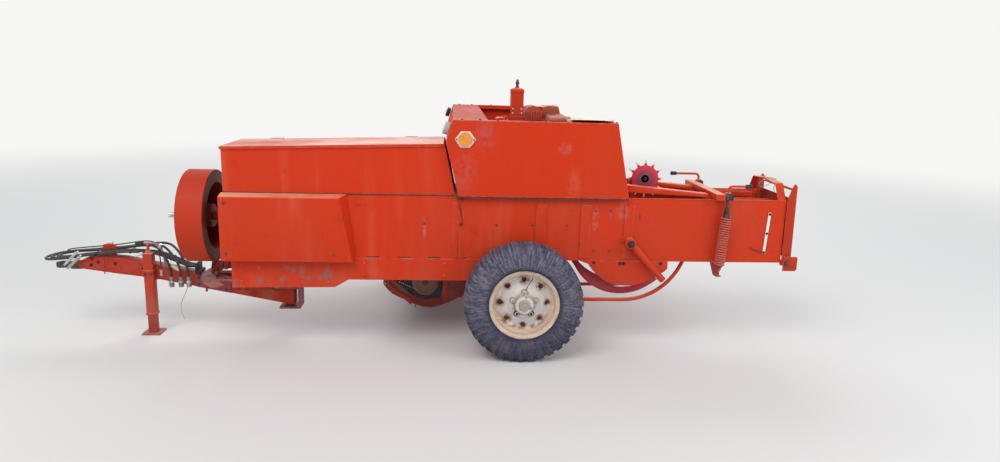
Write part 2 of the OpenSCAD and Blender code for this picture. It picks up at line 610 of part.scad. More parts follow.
// pickup
lift_x = -345;
lift_z = chamber_z - 42 - 30;
pivot_ys = [chamber_w + 50, table_right - 60];
reel_y0 = chamber_w + 36;
tine_y0 = reel_y0 + 70;
reel_y1 = reel_y0 + 140 + (tine_count - 1) * tine_pitch;
side_arm = [[reel_x - 120, reel_z + 90], [lift_x - 30, lift_z + 22], [lift_x + 10, lift_z + 22], [lift_x + 22, lift_z], [lift_x + 12, lift_z - 60],
    [reel_x + 160, reel_z - 60]];
module pickup_frame() color(paint) place() {
    for (y = [reel_y0 - 6, reel_y1])
        difference() {
            union() {
                rod_y(reel_x, reel_z, band_r + 2, y, y + 6);
                slab(y, y + 6, side_arm);
            }
            rod_y(reel_x, reel_z, 17.5 + run, y - 1, y + 7);
            rod_y(lift_x, lift_z, 15 + run, y - 1, y + 7);
        }
    rod_y(lift_x - 30, lift_z - 75, 25, reel_y0, reel_y1);
}
module pickup_bands() color("silver") place() {
    ty = lift_x - 30;
    tz = lift_z - 75;
    for (i = [0:tine_count])
        translate([0, tine_y0 + (i - 0.5) * tine_pitch - 26, 0]) {
            translate([reel_x, 52, reel_z]) rotate([90, 0, 0]) rotate([0, 0, 60]) rotate_extrude(angle = 190)
                translate([band_r - 4, 0]) square([4, 52]);
            slab(0, 52, [[reel_x + (band_r - 4) * cos(60), reel_z + (band_r - 4) * sin(60)], [reel_x + band_r * cos(60), reel_z + band_r * sin(60)],
                [ty - 25 - seat, tz + 120], [ty - 25 - seat, tz], [ty - 29 - seat, tz], [ty - 29 - seat, tz + 114]]);
        }
}
module pickup_reel() color("darkred") place() {
    rod_y(reel_x, reel_z, 17.5, reel_y0 - 20, reel_y1 + 20);
    for (y = [reel_y0 + 6, reel_y1 - 12]) rod_y(reel_x, reel_z, 128, y, y + 6);
    for (b = [0:bar_count - 1])
        translate([reel_x, 0, reel_z]) rotate([0, b * 360 / bar_count + 20, 0]) {
            rod_y(112, 0, 14, reel_y0 + 6, reel_y1 - 6);
            for (i = [0:tine_count - 1])
                translate([112, tine_y0 + i * tine_pitch, 0]) rotate([0, 90, 0]) cylinder(r = 4, h = tine_r - 112);
        }
}

// drawbar
beam_side = [[eye_x + 60, 392], [eye_x + 370, 392], [pin_x - 80, 185], [pin_x + 40, 185], [pin_x + 40, beam_top_rear],
    [pin_x - 80, beam_top_rear], [eye_x + 410, 503], [eye_x + 60, 503]];
module drawbar() color(paint) place()
    difference() {
        union() {
            difference() {
                slab(beam_y - beam_w / 2, beam_y + beam_w / 2, beam_side);
                slab(beam_y - beam_w / 2 + beam_t, beam_y + beam_w / 2 - beam_t, [for (i = [0:7])
                    [beam_side[i][0], beam_side[i][1] + (i < 4 ? beam_t : -beam_t)]]);
            }
            rod_z(pin_x, beam_y, 34, 185, beam_top_rear);
            for (y = [beam_y - beam_w / 2 - 8, beam_y + beam_w / 2])
                slab(y, y + 8, [[pin_x - 690, 290], [pin_x - 400, 236], [pin_x - 400, 350], [pin_x - 690, 406]]);
        }
        rod_z(pin_x, beam_y, pivot_pin_d / 2 + run, 180, beam_top_rear + 5);
    }
module tongue_hanger() color(paint) place() {
    y0 = beam_y - 70;
    y1 = beam_y + 70;
    rod_z(pin_x, beam_y, pivot_pin_d / 2, 179, beam_top_rear + 6);
    block(pin_x - 60, pin_x + 80, y0, y1, beam_top_rear + 6, beam_top_rear + 18);
    block(pin_x - 60, pin_x + 80, y0, y1, 167, 179);
    block(pin_x + 68, pin_x + 80, y0, y1, 167, plate_low + 4);
    block(pin_x + 60, pin_x + 68, y0, y1, beam_top_rear + 18, plate_low + 4);
    intersection() {
        difference() {
            rod_z(pin_x, beam_y, 560, plate_low, plate_low + 8);
            rod_z(pin_x, beam_y, 470, plate_low - 1, plate_low + 9);
            for (a = [0, 14, 28]) translate([pin_x, beam_y, 0]) rotate([0, 0, a]) translate([-515, 0, plate_low - 1]) cylinder(r = 12, h = 10);
        }
        translate([pin_x, beam_y, plate_low - 2]) linear_extrude(20) polygon([[0, 60], [-700, 90], [-700, -480], [-400, -400]]);
    }
    block(pin_x - 480, cx0, beam_y - 20, beam_y + 20, plate_low, plate_low + 8);
    block(pin_x - 440, cx0, beam_y - 230, beam_y - 190, plate_low, plate_low + 8);
}
eye_z = 447;
module hitch_eye() color("gray") place()
    difference() {
        union() {
            block(eye_x + 68, eye_x + 140, beam_y - beam_w / 2 + beam_t + seat, beam_y + beam_w / 2 - beam_t - seat, eye_z - 20, eye_z + 20);
            block(eye_x, eye_x + 68, beam_y - 32, beam_y + 32, eye_z - 15, eye_z + 15);
            rod_z(eye_x, beam_y, 40, eye_z - 15, eye_z + 15);
        }
        rod_z(eye_x, beam_y, eye_d / 2, eye_z - 16, eye_z + 16);
    }
jack_x = pin_x - 895;
jack_y = beam_y - beam_w / 2 - 5 - jack_s / 2;
module jack_tube() color(paint) place() {
    difference() {
        block(jack_x - jack_s / 2, jack_x + jack_s / 2, jack_y - jack_s / 2, jack_y + jack_s / 2, 130, 552);
        block(jack_x - jack_s / 2 + 4, jack_x + jack_s / 2 - 4, jack_y - jack_s / 2 + 4, jack_y + jack_s / 2 - 4, 129, 546);
    }
    block(jack_x - 45, jack_x + 45, jack_y + jack_s / 2, jack_y + jack_s / 2 + 5, 360, 470);
    rod_z(jack_x, jack_y, 9, 552, 612);
    rod([jack_x, jack_y, 612], [jack_x - 100, jack_y, 622], 8);
    rod([jack_x - 100, jack_y, 622], [jack_x - 100, jack_y - 60, 622], 10);
}
module jack_leg() color("dimgray") place() {
    s = jack_s / 2 - 4 - 0.8;
    difference() {
        block(jack_x - s, jack_x + s, jack_y - s, jack_y + s, 8, 420);
        block(jack_x - s + 4, jack_x + s - 4, jack_y - s + 4, jack_y + s - 4, 20, 421);
    }
    block(jack_x - 60, jack_x + 60, jack_y - 60, jack_y + 60, 0, 8);
}

// hoses
function smooth(p, n) = [for (i = [0:len(p) - 2]) for (k = [0:n - 1])
    let (t = k / n, a = p[max(i - 1, 0)], b = p[i], c = p[i + 1], d = p[min(i + 2, len(p) - 1)])
    0.5 * (2 * b + (c - a) * t + (2 * a - 5 * b + 4 * c - d) * t * t + (3 * b - a - 3 * c + d) * t * t * t)];
function unit(v) = v / norm(v);
function path_of(p, n) = concat(smooth(p, n), [p[len(p) - 1]]);
function tangent(q, i) = unit(q[min(i + 1, len(q) - 1)] - q[max(i - 1, 0)]);
function normals(q) = [for (i = 0, u = unit(cross(tangent(q, 0), [0.3, 0.2, 1])); i < len(q);
    i = i + 1, u = i < len(q) ? unit(u - (u * tangent(q, i)) * tangent(q, i)) : u) u];
module tube(p, d, n, sides) {
    q = path_of(p, n);
    u = normals(q);
    m = len(q);
    ring = [for (i = [0:m - 1]) for (k = [0:sides - 1])
        let (v = cross(tangent(q, i), u[i]), a = 360 * k / sides) q[i] + d / 2 * (cos(a) * u[i] + sin(a) * v)];
    polyhedron(ring, concat([[for (k = [0:sides - 1]) k]],
        [for (i = [0:m - 2]) for (k = [0:sides - 1]) each [
            [i * sides + k, (i + 1) * sides + k, (i + 1) * sides + (k + 1) % sides],
            [i * sides + k, (i + 1) * sides + (k + 1) % sides, i * sides + (k + 1) % sides]]],
        [[for (k = [sides - 1:-1:0]) (m - 1) * sides + k]]));
}
exit_x = -2170;
function last(p) = p[len(p) - 1];
exit_z = 450;
function beam_top(x) = beam_top_rear - 0.203 * (x + 1640);
hose_a_path = [[exit_x, 330, exit_z], [exit_x - 24, 330, exit_z], [exit_x - 52, 330, 453], [-2262, 329, 468],
    [-2320, 328, 495], [-2390, 327, 524], [-2470, 326, 541], [-2620, 318, 548], [-2850, 290, 530],
    [-2960, 272, 516], [-3040, 266, 508], [-3122, 300, 498], [-3156, 382, 494], [-3122, 464, 498],
    [-3040, 498, 506], [-2930, 494, 518], [-2700, 470, 545], [-2480, 430, 582], [-2360, 372, 596],
    [-2280, 304, 572], [exit_x - 54, 264, 505], [exit_x - 33, 256, exit_z], [exit_x - 28, 254, 400]];
hose_b_path = [[exit_x, 356, exit_z], [exit_x - 24, 356, exit_z], [exit_x - 52, 356, 453], [-2262, 355, 468],
    [-2320, 353, 495], [-2390, 352, 524], [-2470, 350, 541], [-2620, 342, 548], [-2850, 314, 530],
    [-2940, 295, 519], [-3006, 288, 513], [-3068, 300, 507], [-3108, 334, 502], [-3122, 382, 500],
    [-3108, 430, 502], [-3068, 464, 506], [-3006, 477, 512], [-2920, 473, 521], [-2700, 447, 546],
    [-2500, 400, 582], [-2400, 342, 592], [-2328, 287, 568], [-2272, 260, 505], [-2252, 253, exit_z],
    [-2248, 252, 400]];
hose_c_path = [[exit_x, 382, exit_z], [exit_x - 24, 382, exit_z], [exit_x - 52, 382, 453], [-2262, 381, 468],
    [-2320, 377, 495], [-2390, 376, 524], [-2470, 374, 541], [-2620, 366, 548], [-2850, 338, 530],
    [-2930, 321, 521], [-2985, 312, 516], [-3034, 320, 511], [-3070, 346, 507], [-3079, 384, 505],
    [-3070, 422, 507], [-3034, 448, 510], [-2985, 456, 515], [-2900, 447, 523], [-2700, 424, 546],
    [-2540, 375, 578], [-2440, 327, 588], [-2374, 277, 566], [-2330, 256, 505], [-2312, 251, exit_z],
    [-2308, 250, 400]];
cable_path = [[exit_x, 408, exit_z], [exit_x - 24, 408, exit_z], [exit_x - 52, 408, 453], [-2262, 407, 468],
    [-2320, 405, 495], [-2390, 402, 524], [-2470, 400, 541], [-2620, 392, 548], [-2850, 360, 548],
    [-2950, 354, 546], [-2990, 356, 543], [-3014, 367, 541], [-3023, 390, 540], [-3014, 413, 541],
    [-2990, 424, 543], [-2940, 428, 548], [-2700, 410, 577], [-2540, 372, 608], [-2450, 330, 618],
    [-2396, 280, 602], [-2372, 246, 540], [-2366, 240, 480], [-2366, 240, exit_z]];
cable_d = 8;
module on_bar() place() translate([pin_x + 1560, 0, 0]) children();
module hose_bracket() color("dimgray") on_bar()
    slab(beam_y - 60, beam_y + 62, [[exit_x, beam_top(exit_x)], [exit_x + 30, beam_top(exit_x + 30)],
        [exit_x + 30, beam_top(exit_x) + 12], [exit_x + 10, beam_top(exit_x) + 12], [exit_x + 10, exit_z + 24], [exit_x + seat, exit_z + 24],
        [exit_x + seat, exit_z - 24]]);
module hose_a() color("black") on_bar() tube(hose_a_path, hose_d, 4, 8);
module hose_b() color("black") on_bar() tube(hose_b_path, hose_d, 4, 8);
module hose_c() color("black") on_bar() tube(hose_c_path, hose_d, 4, 8);
module cable() color("black") on_bar() tube(cable_path, cable_d, 4, 8);
module couplers() color("silver") on_bar() {
    for (e = [last(hose_a_path), last(hose_b_path), last(hose_c_path)]) {
        rod_z(e[0], e[1], 12, e[2] - 26, e[2] - 0.7);
        rod_z(e[0], e[1], 16, e[2] - 70, e[2] - 26);
    }
    e = last(cable_path);
    rod_z(e[0], e[1], 11, e[2] - 42, e[2] - 0.4);
}

main_frame();
axle();
left_wall();
right_wall();
chamber_floor();
chamber_roof();
tension_rails();
tension_beam();
tension_springs();
tension_cranks();
twine_box();
twine_lid();
drive_shield();
gearbox();
plunger();
feeder_table();
hood_left();
hood_shell();
hood_cover();
feeder_arm();
knotters();
needle_guard();
segment_plates();
lamps();
reflector_lens();
wall_fittings();
star_arm();
star_wheel();
left_tyre();
left_rim();
right_tyre();
right_rim();
flywheel();
pto_stub();
tongue_hanger();
drawbar();
hitch_eye();
jack_tube();
jack_leg();
hose_bracket();
hose_a();
hose_b();
hose_c();
cable();
couplers();
yoke();
needles();
pickup_frame();
pickup_bands();
pickup_reel();
bale_chute();
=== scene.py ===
import math

import bpy
from mathutils import Matrix, Vector


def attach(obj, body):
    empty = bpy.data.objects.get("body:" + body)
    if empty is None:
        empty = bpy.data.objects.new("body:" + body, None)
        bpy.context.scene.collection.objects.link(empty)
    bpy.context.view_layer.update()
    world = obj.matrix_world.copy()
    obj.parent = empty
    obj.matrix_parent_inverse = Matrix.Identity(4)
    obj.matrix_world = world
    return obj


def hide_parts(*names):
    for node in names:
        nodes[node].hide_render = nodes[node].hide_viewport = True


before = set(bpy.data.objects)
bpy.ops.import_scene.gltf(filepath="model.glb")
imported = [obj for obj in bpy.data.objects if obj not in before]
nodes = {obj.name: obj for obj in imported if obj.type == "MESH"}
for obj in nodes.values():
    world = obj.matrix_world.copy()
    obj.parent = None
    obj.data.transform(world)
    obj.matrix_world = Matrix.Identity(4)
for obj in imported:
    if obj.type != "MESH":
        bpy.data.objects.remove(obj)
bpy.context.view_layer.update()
scene = bpy.context.scene
bpy.ops.object.select_all(action="DESELECT")

# Places below are the baler's own, in mm: X rearward of the axle, Y to its right
# from the left chamber wall, Z up from the ground
MID_X, MID_Y = -635.5, 915.0
CHAMBER_W, CHAMBER_FLOOR, CHAMBER_TOP, HOOD_TOP = 502, 602, 1018, 1490
AXLE_Z, LEFT_WHEEL, RIGHT_WHEEL = 375, -160, 1960
YOKE_X, YOKE_Z = 688, 733
NEEDLE_BAR_X, NEEDLE_BAR_Z = 905.7, 501.2
STAR_HUB = (824, 215, 1115)
FLYWHEEL_X, DRIVE_Y, DRIVE_Z = -1993, 251, 818
REFLECTOR_X, REFLECTOR_Z = -380, 1373


def at(x, y, z):
    return Vector(((x - MID_X) / 1000, (y - MID_Y) / 1000, z / 1000))


# Camera
def aim_camera(place, yaw, pitch, roll, lens):
    yaw, pitch, roll = (math.radians(a) for a in (yaw, pitch, roll))
    ahead = Vector((math.sin(yaw) * math.cos(pitch), math.cos(yaw) * math.cos(pitch), -math.sin(pitch)))
    level = Vector((math.cos(yaw), -math.sin(yaw), 0))
    over = level.cross(ahead)
    right = level * math.cos(roll) + over * math.sin(roll)
    up = over * math.cos(roll) - level * math.sin(roll)
    data = bpy.data.cameras.new("camera")
    data.sensor_width = 36
    data.lens = lens
    data.clip_end = 200
    camera = bpy.data.objects.new("camera", data)
    scene.collection.objects.link(camera)
    turn = Matrix((right, up, -ahead)).transposed().to_4x4()
    camera.matrix_world = Matrix.Translation(place) @ turn
    scene.camera = camera


aim_camera((0.1745, -5.525, 1.790), 3.88, 12.19, 1.57, 26.64)


# Finishes
class Finish:
    """One material, with short words for the nodes that its colour and surface are mixed from."""

    def __init__(self, name, rough=0.5, metal=0.0, specular=0.5, coat=0.0):
        self.material = bpy.data.materials.new(name)
        self.material.use_nodes = True
        self.tree = self.material.node_tree
        self.shader = self.tree.nodes["Principled BSDF"]
        self.shader.inputs["Roughness"].default_value = rough
        self.shader.inputs["Metallic"].default_value = metal
        self.shader.inputs["Specular IOR Level"].default_value = specular
        self.shader.inputs["Coat Weight"].default_value = coat
        self.place = self.add("ShaderNodeTexCoord").outputs["Object"]
        self.facing = self.add("ShaderNodeNewGeometry").outputs["Normal"]

    def add(self, kind, **settings):
        node = self.tree.nodes.new(kind)
        for key, value in settings.items():
            setattr(node, key, value)
        return node

    def feed(self, socket, value):
        if isinstance(value, bpy.types.NodeSocket):
            self.tree.links.new(value, socket)
        elif isinstance(value, tuple) and len(value) == 3 and socket.type == "RGBA":
            socket.default_value = (*value, 1)
        else:
            socket.default_value = value

    def sum(self, how, a, b=0.0, clamp=False):
        node = self.add("ShaderNodeMath", operation=how, use_clamp=clamp)
        self.feed(node.inputs[0], a)
        self.feed(node.inputs[1], b)
        return node.outputs[0]

    def moved(self, stretch=(1, 1, 1), shift=(0, 0, 0)):
        node = self.add("ShaderNodeMapping")
        self.feed(node.inputs["Vector"], self.place)
        node.inputs["Scale"].default_value = stretch
        node.inputs["Location"].default_value = shift
        return node.outputs[0]

    def noise(self, scale, detail=3, stretch=(1, 1, 1), shift=(0, 0, 0), rough=0.55):
        node = self.add("ShaderNodeTexNoise")
        self.feed(node.inputs["Vector"], self.moved(stretch, shift))
        node.inputs["Scale"].default_value = scale
        node.inputs["Detail"].default_value = detail
        node.inputs["Roughness"].default_value = rough
        return node.outputs["Fac"]

    def cells(self, scale):
        node = self.add("ShaderNodeTexVoronoi")
        self.feed(node.inputs["Vector"], self.place)
        node.inputs["Scale"].default_value = scale
        return node.outputs["Distance"]

    def step(self, value, low, high, to_low=0.0, to_high=1.0):
        node = self.add("ShaderNodeMapRange", interpolation_type="SMOOTHSTEP")
        for socket, v in zip(node.inputs, (value, low, high, to_low, to_high)):
            self.feed(socket, v)
        return node.outputs[0]

    def mix(self, share, a, b):
        node = self.add("ShaderNodeMix", data_type="RGBA")
        self.feed(node.inputs[0], share)
        self.feed(node.inputs[6], a)
        self.feed(node.inputs[7], b)
        return node.outputs[2]

    def axis(self, vector, name):
        node = self.add("ShaderNodeSeparateXYZ")
        self.feed(node.inputs[0], vector)
        return node.outputs[name]

    def spot(self, middle, radius, soft=0.5, flat=(1, 1, 1)):
        """1 near a point given in mm, 0 past the radius; flat scales X, Y and Z first."""
        sub = self.add("ShaderNodeVectorMath", operation="SUBTRACT")
        self.feed(sub.inputs[0], self.place)
        sub.inputs[1].default_value = at(*middle)
        scaled = self.add("ShaderNodeVectorMath", operation="MULTIPLY")
        self.feed(scaled.inputs[0], sub.outputs[0])
        scaled.inputs[1].default_value = flat
        length = self.add("ShaderNodeVectorMath", operation="LENGTH")
        self.feed(length.inputs[0], scaled.outputs[0])
        return self.step(length.outputs["Value"], radius * soft / 1000, radius / 1000, 1.0, 0.0)

    def within(self, low, high):
        """1 inside a box given by two corners in mm, 0 outside."""
        a, b = at(*low), at(*high)
        shifted = self.add("ShaderNodeVectorMath", operation="SUBTRACT")
        self.feed(shifted.inputs[0], self.place)
        shifted.inputs[1].default_value = (a + b) / 2
        scaled = self.add("ShaderNodeVectorMath", operation="DIVIDE")
        self.feed(scaled.inputs[0], shifted.outputs[0])
        scaled.inputs[1].default_value = (b - a) / 2
        size = self.add("ShaderNodeVectorMath", operation="ABSOLUTE")
        self.feed(size.inputs[0], scaled.outputs[0])
        x, y, z = (self.axis(size.outputs[0], i) for i in range(3))
        return self.sum("LESS_THAN", self.sum("MAXIMUM", self.sum("MAXIMUM", x, y), z), 1)

    def from_axle(self, middle, way="XZ"):
        """How far the surface is, in mm, from a line across the machine (XZ) or along it (YZ).

        The second value is the offset from the line's given point, in metres."""
        sub = self.add("ShaderNodeVectorMath", operation="SUBTRACT")
        self.feed(sub.inputs[0], self.place)
        sub.inputs[1].default_value = at(*middle)
        flat = self.add("ShaderNodeVectorMath", operation="MULTIPLY")
        self.feed(flat.inputs[0], sub.outputs[0])
        flat.inputs[1].default_value = (1, 0, 1) if way == "XZ" else (0, 1, 1)
        length = self.add("ShaderNodeVectorMath", operation="LENGTH")
        self.feed(length.inputs[0], flat.outputs[0])
        return self.sum("MULTIPLY", length.outputs["Value"], 1000), sub.outputs[0]

    def edges(self, radius):
        """How far the surface turns within the radius: 0 on a flat, up to 1 at an edge."""
        bevel = self.add("ShaderNodeBevel", samples=4)
        bevel.inputs["Radius"].default_value = radius
        dot = self.add("ShaderNodeVectorMath", operation="DOT_PRODUCT")
        self.feed(dot.inputs[0], bevel.outputs[0])
        self.feed(dot.inputs[1], self.facing)
        return self.step(dot.outputs["Value"], 0.985, 0.86)

    def bump(self, height, distance, strength=1.0, rounding=None):
        node = self.add("ShaderNodeBump")
        self.feed(node.inputs["Height"], height)
        node.inputs["Distance"].default_value = distance
        node.inputs["Strength"].default_value = strength
        if rounding:
            bevel = self.add("ShaderNodeBevel", samples=4)
            bevel.inputs["Radius"].default_value = rounding
            self.feed(node.inputs["Normal"], bevel.outputs[0])
        self.feed(self.shader.inputs["Normal"], node.outputs[0])

    def done(self, colour, rough=None):
        self.feed(self.shader.inputs["Base Color"], colour)
        if rough is not None:
            self.feed(self.shader.inputs["Roughness"], rough)
        return self.material


RUST, DUST, GREASE = (0.105, 0.036, 0.016), (0.36, 0.25, 0.17), (0.012, 0.010, 0.009)
# Pale edge colour: partly worn paint, partly a painted highlight along edges.
WORN_EDGE_AND_HIGHLIGHT = (0.60, 0.25, 0.17)
DARK_GRIP, DARK_SCREW = (0.035, 0.045, 0.065), (0.10, 0.075, 0.07)
SCRAPED = (0.24, 0.13, 0.12)


def painted(name, fresh, faded, chalk_and_glare=(0.80, 0.36, 0.22), dust=0.3, chips=0.5, grime=0.35, seed=0, spots=(),
            parts=(), edge_wear_and_highlight=0.6, gloss=0.16):
    """Old sheet metal paint: sun-faded patches, vertical wash, chips, worn edges with a painted highlight,
    and dust where it lies with a painted highlight on tops.

    Spots are ragged marks of another colour, and parts are boxes that were painted in one."""
    f = Finish(name, specular=gloss)
    s = (seed * 3.7, seed * 1.9, seed * 2.3)
    fade = f.step(f.noise(0.9, shift=s), 0.38, 0.66)
    colour = f.mix(f.sum("MULTIPLY", fade, 0.75), fresh, faded)
    wash = f.step(f.noise(1.0, 4, stretch=(7, 7, 0.7), shift=s), 0.5, 0.78)
    colour = f.mix(f.sum("MULTIPLY", wash, 0.11), colour, chalk_and_glare)
    fine = f.noise(70, 4, shift=s)
    colour = f.mix(f.step(fine, 0.25, 0.8, 0.0, 0.16), colour, tuple(c * 0.62 for c in fresh))
    # Upward faces turn pale towards the chalk colour in patches: partly lying dust, partly a painted
    # highlight of the light falling on tops.
    top = f.step(f.axis(f.facing, 2), 0.55, 0.95)
    lain_dust_and_glare = f.step(f.noise(3.5, 5, shift=s), 0.25, 0.7)
    colour = f.mix(f.sum("MULTIPLY", top, f.sum("MULTIPLY", lain_dust_and_glare, 0.85)), colour, chalk_and_glare)
    low = f.step(f.axis(f.place, 2), 0.2, 0.66, 1.0, 0.0)
    blown = f.sum("MULTIPLY", low, f.step(f.noise(6, 5, shift=s), 0.35, 0.75))
    colour = f.mix(f.sum("MULTIPLY", blown, dust), colour, DUST)
    dirt = f.sum("MULTIPLY", f.step(f.noise(11, 6, shift=s), 0.6, 0.78), grime)
    colour = f.mix(dirt, colour, tuple(c * 0.35 for c in fresh))
    # Edges turn pale: partly worn paint, partly a painted highlight along them.
    worn = f.sum("MULTIPLY", f.edges(0.007), f.step(f.noise(24, 4, shift=s), 0.4, 0.62))
    colour = f.mix(f.sum("MULTIPLY", worn, edge_wear_and_highlight), colour, WORN_EDGE_AND_HIGHLIGHT)
    chip = f.step(f.noise(30, 5, shift=s, rough=0.68), 0.735 - 0.05 * chips, 0.765)
    colour = f.mix(f.sum("MULTIPLY", chip, chips), colour, RUST)
    for middle, radius, flat, tint, share in spots:
        ragged = f.sum("MULTIPLY", f.spot(middle, radius, 0.2, flat),
                       f.step(f.noise(34, 5, shift=middle), 0.34, 0.58))
        colour = f.mix(f.sum("MULTIPLY", ragged, share), colour, tint)
    for low, high, tint in parts:
        shade = f.mix(f.step(fine, 0.35, 0.7, 0.0, 0.6), tint, tuple(c * 0.6 for c in tint))
        colour = f.mix(f.within(low, high), colour, shade)
    waves = f.noise(2.1, 2, shift=s)
    skin = f.noise(160, 2)
    f.bump(f.sum("ADD", waves, f.sum("MULTIPLY", skin, 0.012)), 0.010, 0.45, 0.0025)
    rough = f.sum("ADD", f.step(f.noise(5, 4, shift=s), 0.2, 0.8, 0.36, 0.56),
                  f.sum("MULTIPLY", chip, 0.3), True)
    return f.done(colour, rough)


def bare(name, colour, dark, rough=0.45, metal=0.85, scale=30, rust=0.4, bump=0.3):
    """Bare or greasy steel and castings, with rust blooming out of it."""
    f = Finish(name, rough, metal)
    tone = f.mix(f.step(f.noise(scale, 5), 0.3, 0.7), colour, dark)
    bloom = f.step(f.noise(9, 6), 0.66 - 0.2 * rust, 0.8 - 0.1 * rust)
    tone = f.mix(f.sum("MULTIPLY", bloom, min(1, rust * 1.6)), tone, RUST)
    f.bump(f.noise(scale * 3, 4), 0.0012, bump, 0.0015)
    return f.done(tone, f.step(f.noise(14, 4), 0.2, 0.8, rough - 0.08, rough + 0.22))


def rubber(name, colour, grey, rough=0.75, scale=60, wheels=False):
    """Weathered rubber: fine greying, dust, and on a tyre streaks that run out from the rim, with painted
    shade on its lower half.
    """
    f = Finish(name, rough, specular=0.25)
    tone = f.mix(f.step(f.noise(scale, 5, rough=0.65), 0.3, 0.75), colour, grey)
    tone = f.mix(f.step(f.noise(5, 4), 0.3, 0.75, 0.0, 0.45), tone, grey)
    if wheels:
        far, offset = f.from_axle((0, 0, AXLE_Z))
        angle = f.sum("ARCTAN2", f.axis(offset, 0), f.axis(offset, 2))
        join = f.add("ShaderNodeCombineXYZ")
        f.feed(join.inputs[0], f.sum("MULTIPLY", angle, 30))
        f.feed(join.inputs[1], f.sum("MULTIPLY", far, 0.012))
        streaks = f.add("ShaderNodeTexNoise")
        f.feed(streaks.inputs["Vector"], join.outputs[0])
        streaks.inputs["Scale"].default_value = 1.0
        streaks.inputs["Detail"].default_value = 3
        tone = f.mix(f.step(streaks.outputs["Fac"], 0.38, 0.60, 0.55, 0.0), tone, colour)
        tone = f.mix(f.step(streaks.outputs["Fac"], 0.56, 0.72, 0.0, 0.7), tone, grey)
        # Painted shade: the tyre darkens towards its bottom.
        tone = f.mix(f.step(f.axis(offset, 2), 0.02, -0.30, 0.0, 0.6), tone, colour)
        tone = f.mix(f.step(far, 250, 224, 0.0, 0.8), tone, colour)
    tone = f.mix(f.step(f.noise(9, 5), 0.5, 0.85, 0.0, 0.25), tone, DUST)
    f.bump(f.noise(180), 0.0006, 0.4)
    return f.done(tone, f.step(f.noise(20), 0.2, 0.8, rough - 0.15, rough + 0.1))


ORANGE, FADED = (0.60, 0.034, 0.006), (0.54, 0.045, 0.014)
wall_spots = [((-396, 0, 1008), 46, (1, 1, 1.5), GREASE, 0.97),
              ((-398, 0, 950), 30, (1.6, 1, 0.45), GREASE, 0.5),
              ((-400, 0, 828), 22, (1, 1, 1), GREASE, 0.8),
              ((YOKE_X, 0, YOKE_Z), 60, (1, 1, 1), GREASE, 0.45),
              ((690, 0, 640), 40, (1.4, 1, 0.5), (0.3, 0.05, 0.03), 0.5),
              ((750, 0, 896), 22, (1.3, 1, 0.7), (0.09, 0.045, 0.04), 0.9),
              ((-629, 0, 800), 52, (3, 1, 0.6), (0.50, 0.16, 0.13), 0.6),
              ((463, 0, 880), 70, (2.4, 1, 0.6), (0.50, 0.15, 0.12), 0.6),
              ((559, 0, 905), 40, (2.6, 1, 0.7), (0.36, 0.10, 0.08), 0.6),
              ((640, 0, 930), 60, (1, 1, 0.6), (0.50, 0.17, 0.15), 0.45)]
rail_spots = [((x, 0, z), r, flat, SCRAPED, 0.9) for x, z, r, flat in (
    (-1401, 512, 46, (1.6, 1, 0.7)), (-1370, 470, 36, (1, 1, 1.6)), (-1240, 500, 48, (1, 1, 0.8)),
    (-1278, 470, 34, (1, 1, 1)), (-1496, 540, 26, (1, 1, 1)), (-1526, 462, 30, (1, 1, 0.8)),
    (-1456, 520, 22, (1, 1, 0.8)), (-1664, 452, 30, (1, 1, 1)), (-1674, 534, 18, (1, 1, 1)),
    (-1810, 430, 40, (1, 1, 1)))]
paint = painted("paint_orange", ORANGE, FADED, spots=wall_spots + rail_spots)
# The lid's pale top is partly sun-faded paint and partly a painted highlight of the sun on it.
paint_lid = painted("paint_sunburnt_with_glare", (0.59, 0.038, 0.008), (0.54, 0.050, 0.016), chalk_and_glare=(0.66, 0.42, 0.34),
                    seed=1)
hood_spots = [((-260, -40, 1405), 95, (1, 1, 0.6), (0.44, 0.11, 0.12), 0.4),
              ((245, -40, 1330), 60, (1, 1, 1.2), (0.5, 0.2, 0.2), 0.4),
              ((-385, -40, 1170), 120, (1, 1, 0.6), (0.50, 0.11, 0.09), 0.4),
              ((310, -40, 1110), 90, (1.4, 1, 0.6), (0.6, 0.13, 0.08), 0.35)]
paint_hood = painted("paint_hood", (0.59, 0.041, 0.013), (0.52, 0.054, 0.023), chalk_and_glare=(0.36, 0.095, 0.060),
                     chips=0.25, grime=0.12, seed=2, spots=hood_spots, edge_wear_and_highlight=0.9, gloss=0.02)
paint_inside = painted("paint_inner_red", (0.30, 0.028, 0.018), (0.22, 0.035, 0.028),
                       chalk_and_glare=(0.35, 0.14, 0.1), dust=0.5, chips=0.9, grime=0.8, seed=3)
paint_crimson = painted("paint_crimson", (0.62, 0.035, 0.062), (0.50, 0.045, 0.085), chalk_and_glare=(0.6, 0.2, 0.2),
                        seed=4)
paint_spring = painted("paint_spring", (0.56, 0.060, 0.045), (0.50, 0.120, 0.10), chips=0.7, grime=0.9,
                       seed=5)
paint_dull = painted("paint_dull_red", (0.36, 0.040, 0.028), (0.22, 0.045, 0.040), chalk_and_glare=(0.4, 0.2, 0.16),
                     chips=0.9, grime=0.9, seed=10)
paint_dull_top = painted("paint_dull_top", (0.42, 0.062, 0.038), (0.36, 0.095, 0.062),
                         chalk_and_glare=(0.36, 0.13, 0.10), chips=0.9, grime=0.9, seed=13, gloss=0.03)
rusty_sheet = painted("rusty_sheet", (0.30, 0.075, 0.030), (0.22, 0.062, 0.028), chalk_and_glare=(0.42, 0.16, 0.09),
                      chips=1.0, grime=0.6, seed=14)
tag_board = painted("tag_board", (0.66, 0.60, 0.40), (0.52, 0.46, 0.30), chalk_and_glare=(0.72, 0.68, 0.55),
                    dust=0.2, chips=0.3, seed=15)
